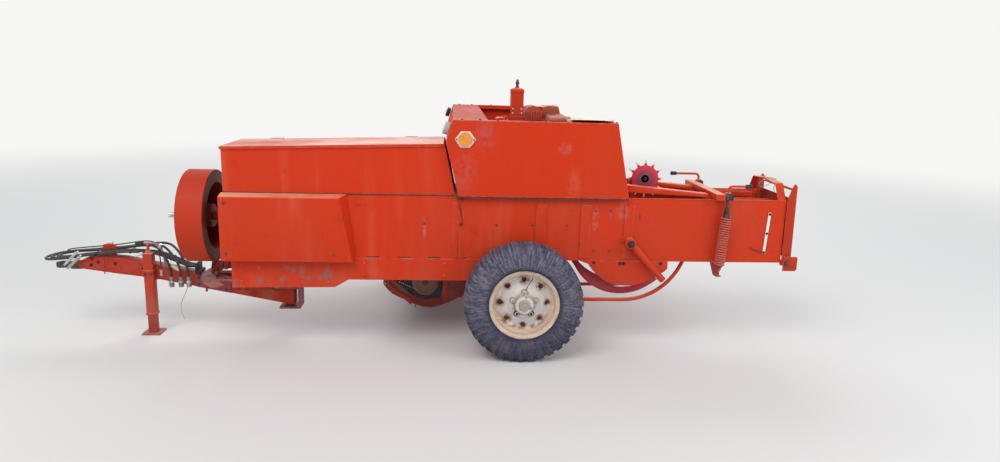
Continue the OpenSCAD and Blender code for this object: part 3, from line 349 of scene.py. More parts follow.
twine = painted("twine", (0.55, 0.47, 0.33), (0.42, 0.34, 0.22), chalk_and_glare=(0.66, 0.6, 0.48), dust=0.2,
                chips=0.1, seed=16)
white_paint = painted("paint_white", (0.80, 0.79, 0.76), (0.74, 0.70, 0.64), chalk_and_glare=(0.84, 0.83, 0.80),
                      dust=0.1, chips=0.9, grime=0.1, seed=11)
paint_crank = painted("paint_crank", (0.58, 0.038, 0.012), (0.52, 0.10, 0.06), chips=0.6, seed=12,
                      parts=[((1410, -70, 1090), (1460, -20, 1130), DARK_GRIP),
                             ((1090, 520, 1090), (1138, 580, 1130), DARK_GRIP),
                             ((1280, -80, 900), (1325, 600, 1062), DARK_SCREW)])
cover_spots = [((320, 120, 1505), 110, (1, 0.6, 1), (0.72, 0.26, 0.08), 0.9),
               ((430, 260, 1505), 60, (0.6, 1, 1), (0.84, 0.83, 0.80), 0.8)]
paint_cover = painted("paint_cover", (0.62, 0.55, 0.42), (0.46, 0.33, 0.22), chalk_and_glare=(0.70, 0.64, 0.50),
                      chips=0.9, seed=7, spots=cover_spots)
paint_bar = painted("paint_drawbar", (0.50, 0.034, 0.012), (0.38, 0.045, 0.028), chalk_and_glare=(0.36, 0.13, 0.09),
                    chips=1.0, grime=0.8, seed=8,
                    parts=[((-2174, 298, 270), (-1940, 311, 397), (0.34, 0.075, 0.090))])
paint_jack = painted("paint_jack", (0.50, 0.040, 0.016), (0.40, 0.055, 0.032), chips=0.9, grime=0.5,
                     seed=17, parts=[((-2382, 262, 440), (-2340, 288, 606), (0.34, 0.22, 0.25)),
                                     ((-2560, 262, 604), (-2382, 288, 632), (0.42, 0.20, 0.20))])
paint_pickup = painted("paint_pickup", (0.30, 0.032, 0.026), (0.20, 0.040, 0.040),
                       chalk_and_glare=(0.36, 0.16, 0.13), dust=0.4, chips=0.9, grime=0.8, seed=18)
lamp_shell = painted("lamp_shell", (0.020, 0.024, 0.040), (0.045, 0.050, 0.075), chalk_and_glare=(0.25, 0.25, 0.28),
                     dust=0.2, chips=0.2, grime=0.2, seed=19)
reflector_board = painted("reflector_board", (0.74, 0.66, 0.62), (0.62, 0.50, 0.45),
                          chalk_and_glare=(0.8, 0.72, 0.68), chips=0.8, seed=20)
silver_shell = painted("silver_shell", (0.52, 0.52, 0.55), (0.36, 0.36, 0.40), chalk_and_glare=(0.66, 0.66, 0.66),
                       seed=21)
paint_chute = painted("paint_chute", (0.46, 0.036, 0.012), (0.38, 0.060, 0.032), chips=0.8, grime=0.7,
                      seed=22)
paint_hanger = painted("paint_hanger", (0.30, 0.060, 0.062), (0.24, 0.085, 0.080),
                       chalk_and_glare=(0.34, 0.15, 0.13), chips=0.8, grime=0.9, seed=23)
paint_guard = painted("paint_guard", (0.55, 0.030, 0.012), (0.42, 0.040, 0.025), chips=0.9, grime=0.9,
                      seed=24)
dusty_disc = painted("dusty_disc", (0.20, 0.070, 0.065), (0.26, 0.13, 0.12), chalk_and_glare=(0.3, 0.2, 0.18),
                     dust=0.6, chips=0.6, grime=0.6, seed=25)
steel = bare("worn_steel", (0.42, 0.41, 0.40), (0.20, 0.18, 0.17))
dark_steel = bare("greasy_steel", (0.055, 0.050, 0.048), (0.018, 0.016, 0.015), rough=0.55, metal=0.5)


def wheel_paint(name, middle_y):
    """The cream wheel: pale dish, tan outer band, rust where water stood and round the edge."""
    f = Finish(name, specular=0.35)
    far, offset = f.from_axle((0, middle_y, AXLE_Z))
    ragged = f.noise(14, 5, rough=0.6)
    shifted = f.sum("ADD", far, f.sum("MULTIPLY", f.sum("SUBTRACT", ragged, 0.5), 30))
    colour = f.mix(f.step(shifted, 150, 186), (0.66, 0.62, 0.60), (0.58, 0.43, 0.33))
    colour = f.mix(f.step(f.noise(45, 5), 0.45, 0.75, 0.0, 0.5), colour, (0.76, 0.72, 0.68))
    colour = f.mix(f.step(f.noise(5), 0.4, 0.7, 0.0, 0.3), colour, (0.52, 0.42, 0.34))
    low = f.step(f.axis(offset, 2), -0.02, -0.14)
    band = f.sum("MULTIPLY", f.step(shifted, 146, 164), f.step(shifted, 190, 172))
    water = f.sum("MULTIPLY", f.sum("MULTIPLY", band, low), f.step(f.noise(20, 4), 0.4, 0.62))
    colour = f.mix(f.sum("MULTIPLY", water, 0.85), colour, (0.24, 0.105, 0.055))
    edge = f.sum("MULTIPLY", f.step(far, 207, 219), f.step(f.noise(11, 5), 0.42, 0.62))
    colour = f.mix(f.sum("MULTIPLY", edge, 0.8), colour, (0.30, 0.13, 0.06))
    speckle = f.step(f.noise(90, 5, rough=0.7), 0.66, 0.72)
    colour = f.mix(f.sum("MULTIPLY", speckle, 0.8), colour, (0.20, 0.08, 0.04))
    for k in range(8):
        a, out = math.radians(45 * k), 148
        hole = (out * math.cos(a), middle_y, AXLE_Z + out * math.sin(a))
        ring = f.spot(hole, 34 + 7 * (k % 3), 0.45, (1, 0.2, 1))
        colour = f.mix(f.sum("MULTIPLY", ring, f.step(f.noise(50, 4), 0.3, 0.6)), colour,
                       (0.27, 0.13, 0.055))
    grease = f.sum("MULTIPLY", f.step(far, 96, 60), f.step(f.noise(26, 5), 0.5, 0.66))
    colour = f.mix(f.sum("MULTIPLY", grease, 0.7), colour, (0.10, 0.075, 0.06))
    f.bump(f.sum("ADD", ragged, f.sum("MULTIPLY", speckle, 0.2)), 0.002, 0.5, 0.002)
    return f.done(colour, f.step(f.noise(9, 4), 0.2, 0.8, 0.42, 0.7))


casting = bare("casting", (0.15, 0.13, 0.12), (0.07, 0.06, 0.055), rough=0.62, metal=0.6, scale=60,
               bump=0.8)
floor_steel = bare("polished_floor", (0.34, 0.30, 0.28), (0.16, 0.10, 0.08), rough=0.4, rust=0.7)
tyre_rubber = rubber("tyre_rubber", (0.020, 0.022, 0.044), (0.190, 0.180, 0.250), wheels=True)
rim_hub = painted("paint_hub", (0.50, 0.46, 0.42), (0.34, 0.27, 0.22), chalk_and_glare=(0.62, 0.58, 0.54),
                  chips=1.0, grime=0.9, seed=9)
hose_rubber_and_shade = rubber("hose_rubber_and_shade", (0.016, 0.016, 0.017), (0.06, 0.058, 0.055), rough=0.5, scale=40)
bright_steel = bare("bright_steel", (0.62, 0.61, 0.60), (0.34, 0.33, 0.32), rough=0.32, rust=0.3)
# Black grease, also used for dark pieces of painted shade.
greasy = bare("black_grease_and_shade", (0.045, 0.036, 0.034), (0.014, 0.012, 0.011), rough=0.5, metal=0.3, rust=0.5)
rusty_bolt = bare("rusty_bolt", (0.20, 0.085, 0.055), (0.09, 0.045, 0.035), rough=0.65, metal=0.3, rust=0.7)


def star_finish():
    """Purple disc, crimson blades and tips worn to bare metal, by their distance from the hub."""
    f = Finish("star_paint", specular=0.35)
    far, _ = f.from_axle(STAR_HUB)
    worn = f.sum("ADD", far, f.sum("MULTIPLY", f.sum("SUBTRACT", f.noise(40, 4), 0.5), 22))
    colour = f.mix(f.step(worn, 54, 70), (0.24, 0.050, 0.085), (0.60, 0.026, 0.045))
    colour = f.mix(f.step(worn, 99, 110), colour, (0.72, 0.62, 0.62))
    colour = f.mix(f.step(f.noise(30, 5), 0.5, 0.8, 0.0, 0.4), colour, (0.35, 0.10, 0.10))
    f.bump(f.noise(120), 0.0006, 0.4)
    return f.done(colour)


def shaded_flywheel_finish():
    """Flywheel paint: bright on its rim, with painted shade on the faces that look back and in its hollow.
    """
    f = Finish("flywheel_paint_and_shade", specular=0.16)
    far, _ = f.from_axle((FLYWHEEL_X, DRIVE_Y, DRIVE_Z), "YZ")
    tone = f.mix(f.step(f.noise(1.4, 4), 0.35, 0.7), (0.50, 0.030, 0.006), (0.42, 0.045, 0.016))
    tone = f.mix(f.step(f.noise(30, 5, rough=0.68), 0.66, 0.74, 0.0, 0.8), tone, RUST)
    # Painted shade: faces that look back and the hollow inside the rim are darkened.
    back = f.step(f.axis(f.facing, 0), 0.3, 0.7)
    hollow = f.step(far, 268, 252)
    dark = f.mix(f.step(f.noise(5, 4), 0.4, 0.7), (0.075, 0.022, 0.018), (0.13, 0.040, 0.030))
    tone = f.mix(f.sum("MULTIPLY", f.sum("MAXIMUM", back, f.sum("MULTIPLY", hollow, 0.7)), 0.85), tone,
                 dark)
    f.bump(f.noise(3), 0.004, 0.5, 0.0025)
    return f.done(tone, f.step(f.noise(5, 4), 0.2, 0.8, 0.4, 0.6))


def lens_glass(name, colour, rough=0.12):
    """Ribbed lamp glass with a thin coat."""
    f = Finish(name, rough, specular=0.6, coat=0.4)
    f.shader.inputs["Coat Roughness"].default_value = 0.08
    f.bump(f.cells(180), 0.0012, 0.7)
    return f.done(f.mix(f.step(f.noise(30), 0.4, 0.75, 0.0, 0.35), colour,
                        tuple(c * 0.45 for c in colour)))


star_paint = star_finish()
amber = lens_glass("amber_lens", (0.80, 0.27, 0.012))
white_lamp = lens_glass("white_lens", (0.80, 0.80, 0.78), 0.2)

NODE_FINISH = {
    paint: "main_frame axle left_wall right_wall chamber_roof tension_rails tension_beam twine_box "
           "drive_shield feeder_table segment_plates star_arm yoke needle_guard",
    paint_hanger: "tongue_hanger",
    paint_chute: "bale_chute",
    paint_guard: "pickup_frame",
    paint_hood: "hood_left hood_shell feeder_arm",
    paint_lid: "twine_lid",
    paint_inside: "plunger knotters gearbox pickup_reel",
    paint_crimson: "needles star_wheel",
    paint_crank: "tension_cranks",
    paint_spring: "tension_springs",
    shaded_flywheel_finish(): "flywheel",
    wheel_paint("paint_left_wheel", LEFT_WHEEL): "left_rim",
    wheel_paint("paint_right_wheel", RIGHT_WHEEL): "right_rim",
    paint_cover: "hood_cover",
    paint_bar: "drawbar jack_tube",
    steel: "pto_stub couplers pickup_bands",
    paint_dull: "wall_fittings jack_leg",
    dark_steel: "hose_bracket",
    casting: "hitch_eye",
    floor_steel: "chamber_floor",
    tyre_rubber: "left_tyre right_tyre",
    hose_rubber_and_shade: "hose_a hose_b hose_c cable",
    amber: "reflector_lens",
    white_lamp: "lamps",
}
for finish, names in NODE_FINISH.items():
    for name in names.split():
        for holder in nodes[name].material_slots:
            holder.material = finish


# Hoses
EXIT_X, EXIT_Z, ROUTE_STEPS = -2170, 450, 6
# Piece, node, diameter, stiffness, the exit's Y, and the route on from there
HOSES = (
    ("hydraulic_hose_a", "hose_a", 16, "stiff", 330, [
        (-2262, 329, 468), (-2320, 328, 495), (-2390, 327, 524), (-2470, 326, 541), (-2620, 318, 548),
        (-2850, 290, 530), (-2960, 272, 516), (-3040, 266, 508), (-3122, 300, 498), (-3156, 382, 494),
        (-3122, 464, 498), (-3040, 498, 506), (-2930, 494, 518), (-2700, 470, 545), (-2480, 430, 582),
        (-2360, 372, 596), (-2280, 304, 572), (-2224, 264, 505), (-2203, 256, 450), (-2198, 254, 400)]),
    ("hydraulic_hose_b", "hose_b", 16, "stiff", 356, [
        (-2262, 355, 468), (-2320, 353, 495), (-2390, 352, 524), (-2470, 350, 541), (-2620, 342, 548),
        (-2850, 314, 530), (-2940, 295, 519), (-3006, 288, 513), (-3068, 300, 507), (-3108, 334, 502),
        (-3122, 382, 500), (-3108, 430, 502), (-3068, 464, 506), (-3006, 477, 512), (-2920, 473, 521),
        (-2700, 447, 546), (-2500, 400, 582), (-2400, 342, 592), (-2328, 287, 568), (-2272, 260, 505),
        (-2252, 253, 450), (-2248, 252, 400)]),
    ("hydraulic_hose_c", "hose_c", 16, "stiff", 382, [
        (-2262, 381, 468), (-2320, 377, 495), (-2390, 376, 524), (-2470, 374, 541), (-2620, 366, 548),
        (-2850, 338, 530), (-2930, 321, 521), (-2985, 312, 516), (-3034, 320, 511), (-3070, 346, 507),
        (-3079, 384, 505), (-3070, 422, 507), (-3034, 448, 510), (-2985, 456, 515), (-2900, 447, 523),
        (-2700, 424, 546), (-2540, 375, 578), (-2440, 327, 588), (-2374, 277, 566), (-2330, 256, 505),
        (-2312, 251, 450), (-2308, 250, 400)]),
    ("lamp_lead", "cable", 8, "limp", 408, [
        (-2262, 407, 468), (-2320, 405, 495), (-2390, 402, 524), (-2470, 400, 541), (-2620, 392, 548),
        (-2850, 360, 548), (-2950, 354, 546), (-2990, 356, 543), (-3014, 367, 541), (-3023, 390, 540),
        (-3014, 413, 541), (-2990, 424, 543), (-2940, 428, 548), (-2700, 410, 577), (-2540, 372, 608),
        (-2450, 330, 618), (-2396, 280, 602), (-2372, 246, 540), (-2366, 240, 480), (-2366, 240, 450)]),
)


def only(item):
    bpy.ops.object.select_all(action="DESELECT")
    item.select_set(True)
    bpy.context.view_layer.objects.active = item


def smoothed(points, steps):
    """The points joined by one smooth curve, as the part's own source joins them."""
    out = []
    last = len(points) - 1
    for i in range(last):
        a, b, c, d = (Vector(points[min(max(k, 0), last)]) for k in (i - 1, i, i + 1, i + 2))
        for k in range(steps):
            t = k / steps
            out.append(0.5 * (2 * b + (c - a) * t + (2 * a - 5 * b + 4 * c - d) * t * t
                              + (3 * b - a - 3 * c + d) * t ** 3))
    return out + [Vector(points[last])]


def wire(name, points, radius, finish, body, steps=6, sides=3, keep_curve=False):
    """A round rod, wire or hose along the points, with closed ends."""
    data = bpy.data.curves.new(name, "CURVE")
    data.dimensions = "3D"
    data.bevel_depth = radius / 1000
    data.bevel_resolution = sides
    data.use_fill_caps = True
    path = [at(*p) for p in (smoothed(points, steps) if steps > 1 else points)]
    spline = data.splines.new("POLY")
    spline.points.add(len(path) - 1)
    for point, place in zip(spline.points, path):
        point.co = (*place, 1)
    item = bpy.data.objects.new(name, data)
    scene.collection.objects.link(item)
    data.materials.append(finish)
    if not keep_curve:
        only(item)
        bpy.ops.object.convert(target="MESH")
        bpy.ops.object.shade_smooth_by_angle(angle=math.radians(40))
        bpy.ops.object.select_all(action="DESELECT")
    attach(item, body)
    return item


for name, node, wide, stiffness, y, onward in HOSES:
    route = [(EXIT_X, y, EXIT_Z), (EXIT_X - 24, y, EXIT_Z), (EXIT_X - 52, y, EXIT_Z + 3)] + onward
    hose = wire(name, route, wide / 2, hose_rubber_and_shade, "drawbar", steps=ROUTE_STEPS, keep_curve=True)
    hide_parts(node)


# Modelling
BENCH = Vector((MID_X, MID_Y, 0))
UP, DOWN, NEAR, FAR, AHEAD, BACK = (0, 0, 1), (0, 0, -1), (0, -1, 0), (0, 1, 0), (-1, 0, 0), (1, 0, 0)


def bench(x, y, z):
    """A place on the bench, the frame's own origin, where what repeats is modelled with its top up."""
    return (BENCH.x + x, BENCH.y + y, z)


def begun(name, finish):
    """The primitive just added gets its name and finish, and its place goes into its mesh."""
    item = bpy.context.object
    item.name = name
    item.data.materials.append(finish)
    bpy.ops.object.transform_apply(location=True, rotation=True, scale=True)
    return item


def block(name, low, high, finish):
    a, b = at(*low), at(*high)
    bpy.ops.object.select_all(action="DESELECT")
    bpy.ops.mesh.primitive_cube_add(size=1, location=(a + b) / 2, scale=b - a)
    return begun(name, finish)


def rod(name, foot, tip, radius, finish, sides=24, tip_radius=None):
    a, b = at(*foot), at(*tip)
    turn = (b - a).to_track_quat("Z", "Y").to_euler()
    bpy.ops.object.select_all(action="DESELECT")
    bpy.ops.mesh.primitive_cone_add(vertices=sides, radius1=radius / 1000, depth=(b - a).length,
                                    location=(a + b) / 2,
                                    radius2=(radius if tip_radius is None else tip_radius) / 1000,
                                    rotation=turn)
    return begun(name, finish)


def chosen(item, test, kind="FACE"):
    """Opens the piece for editing with only the faces or corners that pass the test selected."""
    only(item)
    bpy.ops.object.mode_set(mode="EDIT")
    bpy.ops.mesh.select_mode(type=kind)
    bpy.ops.mesh.select_all(action="DESELECT")
    bpy.ops.object.mode_set(mode="OBJECT")
    if kind == "FACE":
        for face in item.data.polygons:
            face.select = test(face.center, face.normal)
    else:
        for corner in item.data.vertices:
            corner.select = test(corner.co)
    bpy.ops.object.mode_set(mode="EDIT")


def shut():
    bpy.ops.object.mode_set(mode="OBJECT")


def facing(way):
    return lambda middle, normal: normal.dot(Vector(way)) > 0.9


def pressed(item, test, *steps):
    """The faces that pass the test inset, each step by a width and a depth."""
    chosen(item, test)
    for width, depth in steps:
        bpy.ops.mesh.inset(thickness=width / 1000, depth=depth / 1000)
    shut()


def nudged(item, test, move):
    """The corners that pass the test moved."""
    chosen(item, test, "VERT")
    bpy.ops.transform.translate(value=Vector(move) / 1000)
    shut()


def rounded(item, width, segments=2, angle=35):
    """The piece's sharp edges rounded, and what is left shaded smooth."""
    change = item.modifiers.new("rounding", "BEVEL")
    change.width = width / 1000
    change.segments = segments
    change.limit_method = "ANGLE"
    change.angle_limit = math.radians(angle)
    only(item)
    bpy.ops.object.modifier_apply(modifier=change.name)
    bpy.ops.object.shade_smooth_by_angle(angle=math.radians(angle))
    return item


def drawn(name, points, finish):
    """A line drawn corner by corner, left open for editing with all of it selected."""
    bpy.ops.object.select_all(action="DESELECT")
    bpy.ops.mesh.primitive_plane_add(size=0.01, location=at(*points[0]))
    item = begun(name, finish)
    bpy.ops.object.mode_set(mode="EDIT")
    bpy.ops.mesh.select_mode(type="VERT")
    bpy.ops.mesh.select_all(action="SELECT")
    bpy.ops.mesh.merge(type="CENTER")
    for a, b in zip(points, points[1:]):
        bpy.ops.mesh.extrude_region_move(TRANSFORM_OT_translate={"value": at(*b) - at(*a)})
    bpy.ops.mesh.select_all(action="SELECT")
    return item


def cut(name, points, depth, finish):
    """A plate cut to an outline, with its thickness given as a way and length in mm."""
    item = drawn(name, points, finish)
    bpy.ops.mesh.edge_face_add()
    bpy.ops.mesh.extrude_region_move(TRANSFORM_OT_translate={"value": Vector(depth) / 1000})
    bpy.ops.mesh.select_all(action="SELECT")
    bpy.ops.mesh.normals_make_consistent(inside=False)
    shut()
    return item


def spun(name, points, middle, way, steps, finish):
    """An outline turned round an axis."""
    item = drawn(name, points, finish)
    bpy.ops.mesh.spin(steps=steps, angle=2 * math.pi, center=at(*middle), axis=way)
    bpy.ops.mesh.select_all(action="SELECT")
    bpy.ops.mesh.remove_doubles(threshold=0.00002)
    bpy.ops.mesh.normals_make_consistent(inside=False)
    shut()
    bpy.ops.object.shade_smooth_by_angle(angle=math.radians(35))
    return item


def turned(name, profile, middle, way, steps, finish):
    """A round piece: each corner is how far along the axis and how far out from it."""
    x, y, z = middle
    place = {FAR: lambda d, r: (x, y + d, z + r), BACK: lambda d, r: (x + d, y, z + r),
             UP: lambda d, r: (x + r, y, z + d)}[way]
    return spun(name, [place(d, r) for d, r in profile], middle, way, steps, finish)


def upright(y, outline):
    """An outline given by X and Z, stood at one distance across the machine."""
    return [(x, y, z) for x, z in outline]


def joined(name, items):
    only(items[0])
    for item in items:
        item.select_set(True)
    if len(items) > 1:
        bpy.ops.object.join()
    items[0].name = name
    return items[0]


def copied(name, model, moves):
    """One copy of a model, with its own mesh, for each move, joined to one piece."""
    items = []
    for move in moves:
        twin = model.copy()
        twin.data = model.data.copy()
        twin.data.transform(move)
        if move.determinant() < 0:
            twin.data.flip_normals()
        scene.collection.objects.link(twin)
        items.append(twin)
    bpy.data.objects.remove(model)
    return joined(name, items)


def stood(place, way=UP, turn=0):
    """The move that takes a model from the bench to a place, with its top facing a way."""
    spin = Vector(way).to_track_quat("Z", "Y").to_matrix().to_4x4()
    return Matrix.Translation(at(*place)) @ spin @ Matrix.Rotation(math.radians(turn), 4, "Z")


def about(middle, axis, degrees):
    m = Matrix.Translation(at(*middle))
    return m @ Matrix.Rotation(math.radians(degrees), 4, Vector(axis)) @ m.inverted()


def bolt(size, finish, shank=0):
    """A hexagon head on its washer, modelled on the bench."""
    head = rod("bolt", bench(0, 0, size * 0.18), bench(0, 0, size * 0.85), size * 0.95, finish, 6)
    pressed(head, facing(UP), (size * 0.16, size * 0.06))
    washer = rod("washer", bench(0, 0, -1), bench(0, 0, size * 0.18), size * 1.25, finish, 20)
    parts = [head, washer]
    if shank:
        parts.append(rod("thread", bench(0, 0, size * 0.8), bench(0, 0, size * 0.8 + shank), size * 0.5,
                         finish, 12))
    return rounded(joined("bolt", parts), size * 0.07, 1)


def bolts(name, size, finish, body, spots, shank=0):
    """Bolts, each with a place in mm and the way that its head faces."""
    moves = [stood(place, way, 13 * i) for i, (place, way) in enumerate(spots)]
    item = copied(name, bolt(size, finish, shank), moves)
    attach(item, body)
    return item


def on_side(y, way, places):
    """Bolt places given by X and Z on a surface across the machine."""
    return [((x, y, z), way) for x, z in places]


# Wheels
TYRE_R, TYRE_W, LUGS = 375, 220, 34


def tyre(name, middle, side, node, body):
    """A worn implement tyre: carcass, three zigzag ribs and shoulder blocks that run down the wall."""
    half = TYRE_W / 2

    def ring(y, r):
        return (0, middle + side * y, AXLE_Z + r)

    wall = [(80, 205), (86, 214), (96, 228), (98, 233), (104, 240), (108, 256), (110, 275), (110, 300),
            (107, 303), (107, 314), (104, 330), (98, 347), (86, 359), (60, 366), (30, 368)]
    section = [ring(-y, r) for y, r in wall] + [ring(y, r) for y, r in reversed(wall)]
    carcass = spun(name, section + section[:1], (0, middle, AXLE_Z), FAR, 90, tyre_rubber)
    shoulder = cut("shoulder_block", [bench(-21, half * 0.46, TYRE_R - 9),
                                      bench(-21, half * 0.46, TYRE_R - 0.4),
                                      bench(-21, half * 0.76, TYRE_R - 3),
                                      bench(-21, half * 0.9, TYRE_R - 14),
                                      bench(-21, half * 0.975, TYRE_R - 34),
                                      bench(-21, half * 0.99, TYRE_R - 58),
                                      bench(-21, half * 0.94, TYRE_R - 60),
                                      bench(-21, half * 0.8, TYRE_R - 30)], (42, 0, 0), tyre_rubber)
    chosen(shoulder, lambda c: c.z < (TYRE_R - 45) / 1000, "VERT")
    bpy.ops.transform.resize(value=(0.62, 1, 1))
    shut()
    nudged(shoulder, lambda c: c.y < half * 0.5 / 1000, (9, 0, 0))
    rounded(shoulder, 2.2)
    moves = []
    for i in range(LUGS):
        for far in (1, -1):
            turn = Matrix.Rotation(math.radians((i + far / 4) * 360 / LUGS), 4, "Y")
            flip = Matrix.Scale(far * side, 4, (0, 1, 0))
            moves.append(Matrix.Translation(at(0, middle, AXLE_Z)) @ turn @ flip)
    blocks = copied("shoulders", shoulder, moves)
    parts = [carcass, blocks]
    for y in (-27, 0, 27):
        rib = spun("zigzag_rib", [(0, middle + y - 8, AXLE_Z + 364),
                                  (0, middle + y - 8, AXLE_Z + TYRE_R - 0.5),
                                  (0, middle + y + 8, AXLE_Z + TYRE_R - 0.5),
                                  (0, middle + y + 8, AXLE_Z + 364)], (0, middle, AXLE_Z), FAR, 2 * LUGS,
                   tyre_rubber)
        hub = at(0, middle, AXLE_Z)
        nudged(rib, lambda c: round(math.atan2(c.x - hub.x, c.z - hub.z) * LUGS / math.pi) % 2 == 0,
               (0, 9, 0))
        parts.append(rib)
    item = joined(name, parts)
    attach(item, body)
    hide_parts(node)
    return item


def wheel_fittings(name, middle, side):
    """Nuts, dust drum, grease cap with a dark ring of painted shade in its recess, and valve of one wheel,
    sitting on the dish.
    """
    out = (0, side, 0)

    def face(x, y, z):
        return (x, middle + side * y, AXLE_Z + z)

    def fitting(part, profile, steps, finish):
        return turned(name + part, [(side * d, r) for d, r in profile], face(0, 0, 0), FAR, steps, finish)

    nuts = []
    for k in range(5):
        a, circle = math.radians(k * 72 + 18), 76
        nuts.append(stood(face(circle * math.cos(a), 52, circle * math.sin(a)), out, 17 * k))
    items = [copied(name + "_nuts", bolt(17, rim_hub, 9), nuts[:3]),
             copied(name + "_greasy_nuts", bolt(17, greasy, 9), nuts[3:])]
    items.append(fitting("_drum",
                         [(-50, 60), (-50, 166), (-46, 170), (-14, 170), (-9, 166), (-8, 160), (-8, 60)],
                         48, dusty_disc))
    items.append(fitting("_cap", [(50, 68), (56, 68), (60, 65), (78, 63), (83, 61), (85, 57), (83, 53),
                                  (76, 50), (72, 40), (73, 37), (94, 36), (100, 32), (102, 22), (99, 17),
                                  (101, 12), (102, 0)], 40, rim_hub))
    # A dark ring of painted shade in the cap's recess.
    items.append(fitting("_cap_shadow", [(72, 37.4), (84.4, 37.4), (84.4, 53.5), (72, 53.5), (72, 37.4)],
                         40, greasy))
    valve = [(2, 12), (10, 10), (14, 6), (38, 5), (40, 4), (52, 4), (52, 0)]
    items.append(turned(name + "_valve", [(side * d, r) for d, r in valve], face(-150, 0, 8), FAR, 12,
                        hose_rubber_and_shade))
    return items


for label, middle, side in (("left", LEFT_WHEEL, -1), ("right", RIGHT_WHEEL, 1)):
    tyre(label + "_wheel_tyre", middle, side, label + "_tyre", label + "_wheel")
    for item in wheel_fittings(label + "_wheel", middle, side):
        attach(item, label + "_wheel")
wire("caught_wire", [(x, LEFT_WHEEL - out, AXLE_Z + z) for x, out, z in (
    (-8, 56, 66), (4, 62, 84), (22, 58, 120), (47, 52, 158), (50, 44, 166))], 2.6, dark_steel, "left_wheel")


# Chamber's rear
SPRING_X, SPRING_Z, SPRING_LEAN, SPRING_R, WIRE_R = 1302, 912, math.radians(3.2), 29.5, 5.4
SIDES = (-46, 548)


def coil_spring(y):
    """Close spring hanging from its threaded plug, with a hook into the foot bracket."""
    points = []
    turns, length, per_turn = 21, 318, 14
    for i in range(turns * per_turn + 1):
        a = 2 * math.pi * i / per_turn
        down = length * i / (turns * per_turn) - 2
        points.append((SPRING_X + SPRING_R * math.cos(a) - down * math.sin(SPRING_LEAN),
                       y + SPRING_R * math.sin(a), SPRING_Z - down * math.cos(SPRING_LEAN)))
    last = points[-1]
    foot = (1281.6, y, 545)
    hook = [last, (last[0] - 12, y + 6, last[2] - 16), (foot[0] + 8, y + 2, foot[2] + 22),
            (foot[0], y, foot[2]), (foot[0] + 1, y, foot[2] - 20), (foot[0] - 4, y, foot[2] - 25)]
    coil = wire("tension_spring", points, WIRE_R, paint_spring, "chassis", steps=1, sides=2)
    tail = wire("spring_hook", hook, WIRE_R, paint_spring, "chassis", steps=5, sides=2)
    plug = turned("spring_plug", [(0, 0), (0, 22), (20, 23), (34, 23), (40, 19), (56, 17), (78, 13),
                                  (92, 12), (94, 8.4), (94, 0)], (SPRING_X, y, 880), UP, 28, greasy)
    return [coil, tail, plug]


springs = joined("tension_spring_pair", coil_spring(SIDES[0]) + coil_spring(SIDES[1]))
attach(springs, "chassis")
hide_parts("tension_springs")


def flat_bar_bolted():
    """White bar at the wall's rear end, its three dark bolts and the loose wire hooked under it."""
    bar = cut("number_bar", upright(-6, [(1581, 662), (1600, 662), (1616, 938), (1597, 938)]),
              (0, 4, 0), white_paint)
    rounded(bar, 2)
    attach(bar, "chassis")
    bolts("number_bar_bolts", 7, dark_steel, "chassis",
          on_side(-6, NEAR, ((1590, 672), (1599, 798), (1607, 927))))
    wire("loose_wire",
         [(1588, -9, 676), (1562, -10, 678), (1534, -9, 686), (1508, -9, 697), (1492, -8, 706)], 2.2,
         dark_steel, "chassis")


def spring_feet():
    """Folded feet under the wall that the springs hook into, with their pins, and the number bar's seat."""
    items = []
    for y, way in ((SIDES[0], 1), (SIDES[1], -1)):
        wall = y + way * 46
        items += [cut("foot", upright(wall, [(1236, CHAMBER_FLOOR), (1325, CHAMBER_FLOOR), (1316, 560),
                                             (1298, 517), (1262, 517)]), (0, -way * 6, 0), paint_dull),
                  block("shelf", (1262, min(y - way * 12, wall), 517),
                        (1298, max(y - way * 12, wall), 524), paint_dull),
                  rod("pin", (1281.6, y, 524), (1281.6, y, 548), 7, paint_dull, 16)]
    items.append(cut("bar_seat", upright(-4, [(1582, 662), (1600, 662), (1616, 936), (1598, 936)]),
                     (0, 4, 0), paint_dull))
    feet = rounded(joined("spring_feet", items), 1.5, 1)
    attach(feet, "chassis")
    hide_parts("wall_fittings")


def crank_clevis(label, y, way):
    """Dark forged end of the tension beam round the crank's screw, with its collar."""
    body = block(label + "_clevis", (1278, y - 24, 1023), (1332, y + 24, 1062), dark_steel)
    pressed(body, facing(UP), (9, 5))
    pressed(body, facing(DOWN), (10, -4))
    rounded(body, 4)
    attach(body, "chassis")
    bolts(label + "_clevis_bolts", 7, casting, "chassis",
          [((1290, y - way * 24, z), (0, -way, 0)) for z in (1034, 1051)])


def curved_needles():
    """The two crescent needles, deepest at their middle, with the lugs that hold them to the bar."""
    items = []
    for y in (136, 366):
        outline = []
        steps = 30
        for i in range(steps + 1):
            swell = math.sin(math.pi * min(1, i / steps * 1.08))
            outline.append((212 + 98 * i / steps, 379 + 13 * swell))
        for i in range(steps, -1, -1):
            outline.append((210 + 100 * i / steps, 343 + 3 * i / steps))
        points = [(YOKE_X + r * math.cos(math.radians(a)), y - 7, YOKE_Z + r * math.sin(math.radians(a)))
                  for a, r in outline]
        items.append(rounded(cut("needle_blade", points, (0, 14, 0), paint_crimson), 3))
        items.append(turned("needle_lug",
                            [(-10, 14), (-10, 29), (-7, 34), (7, 34), (10, 29), (10, 14), (-10, 14)],
                            (NEEDLE_BAR_X, y, NEEDLE_BAR_Z), FAR, 32, paint_crimson))
    pair = joined("needle_blades", items)
    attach(pair, "needle_yoke")
    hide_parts("needles")


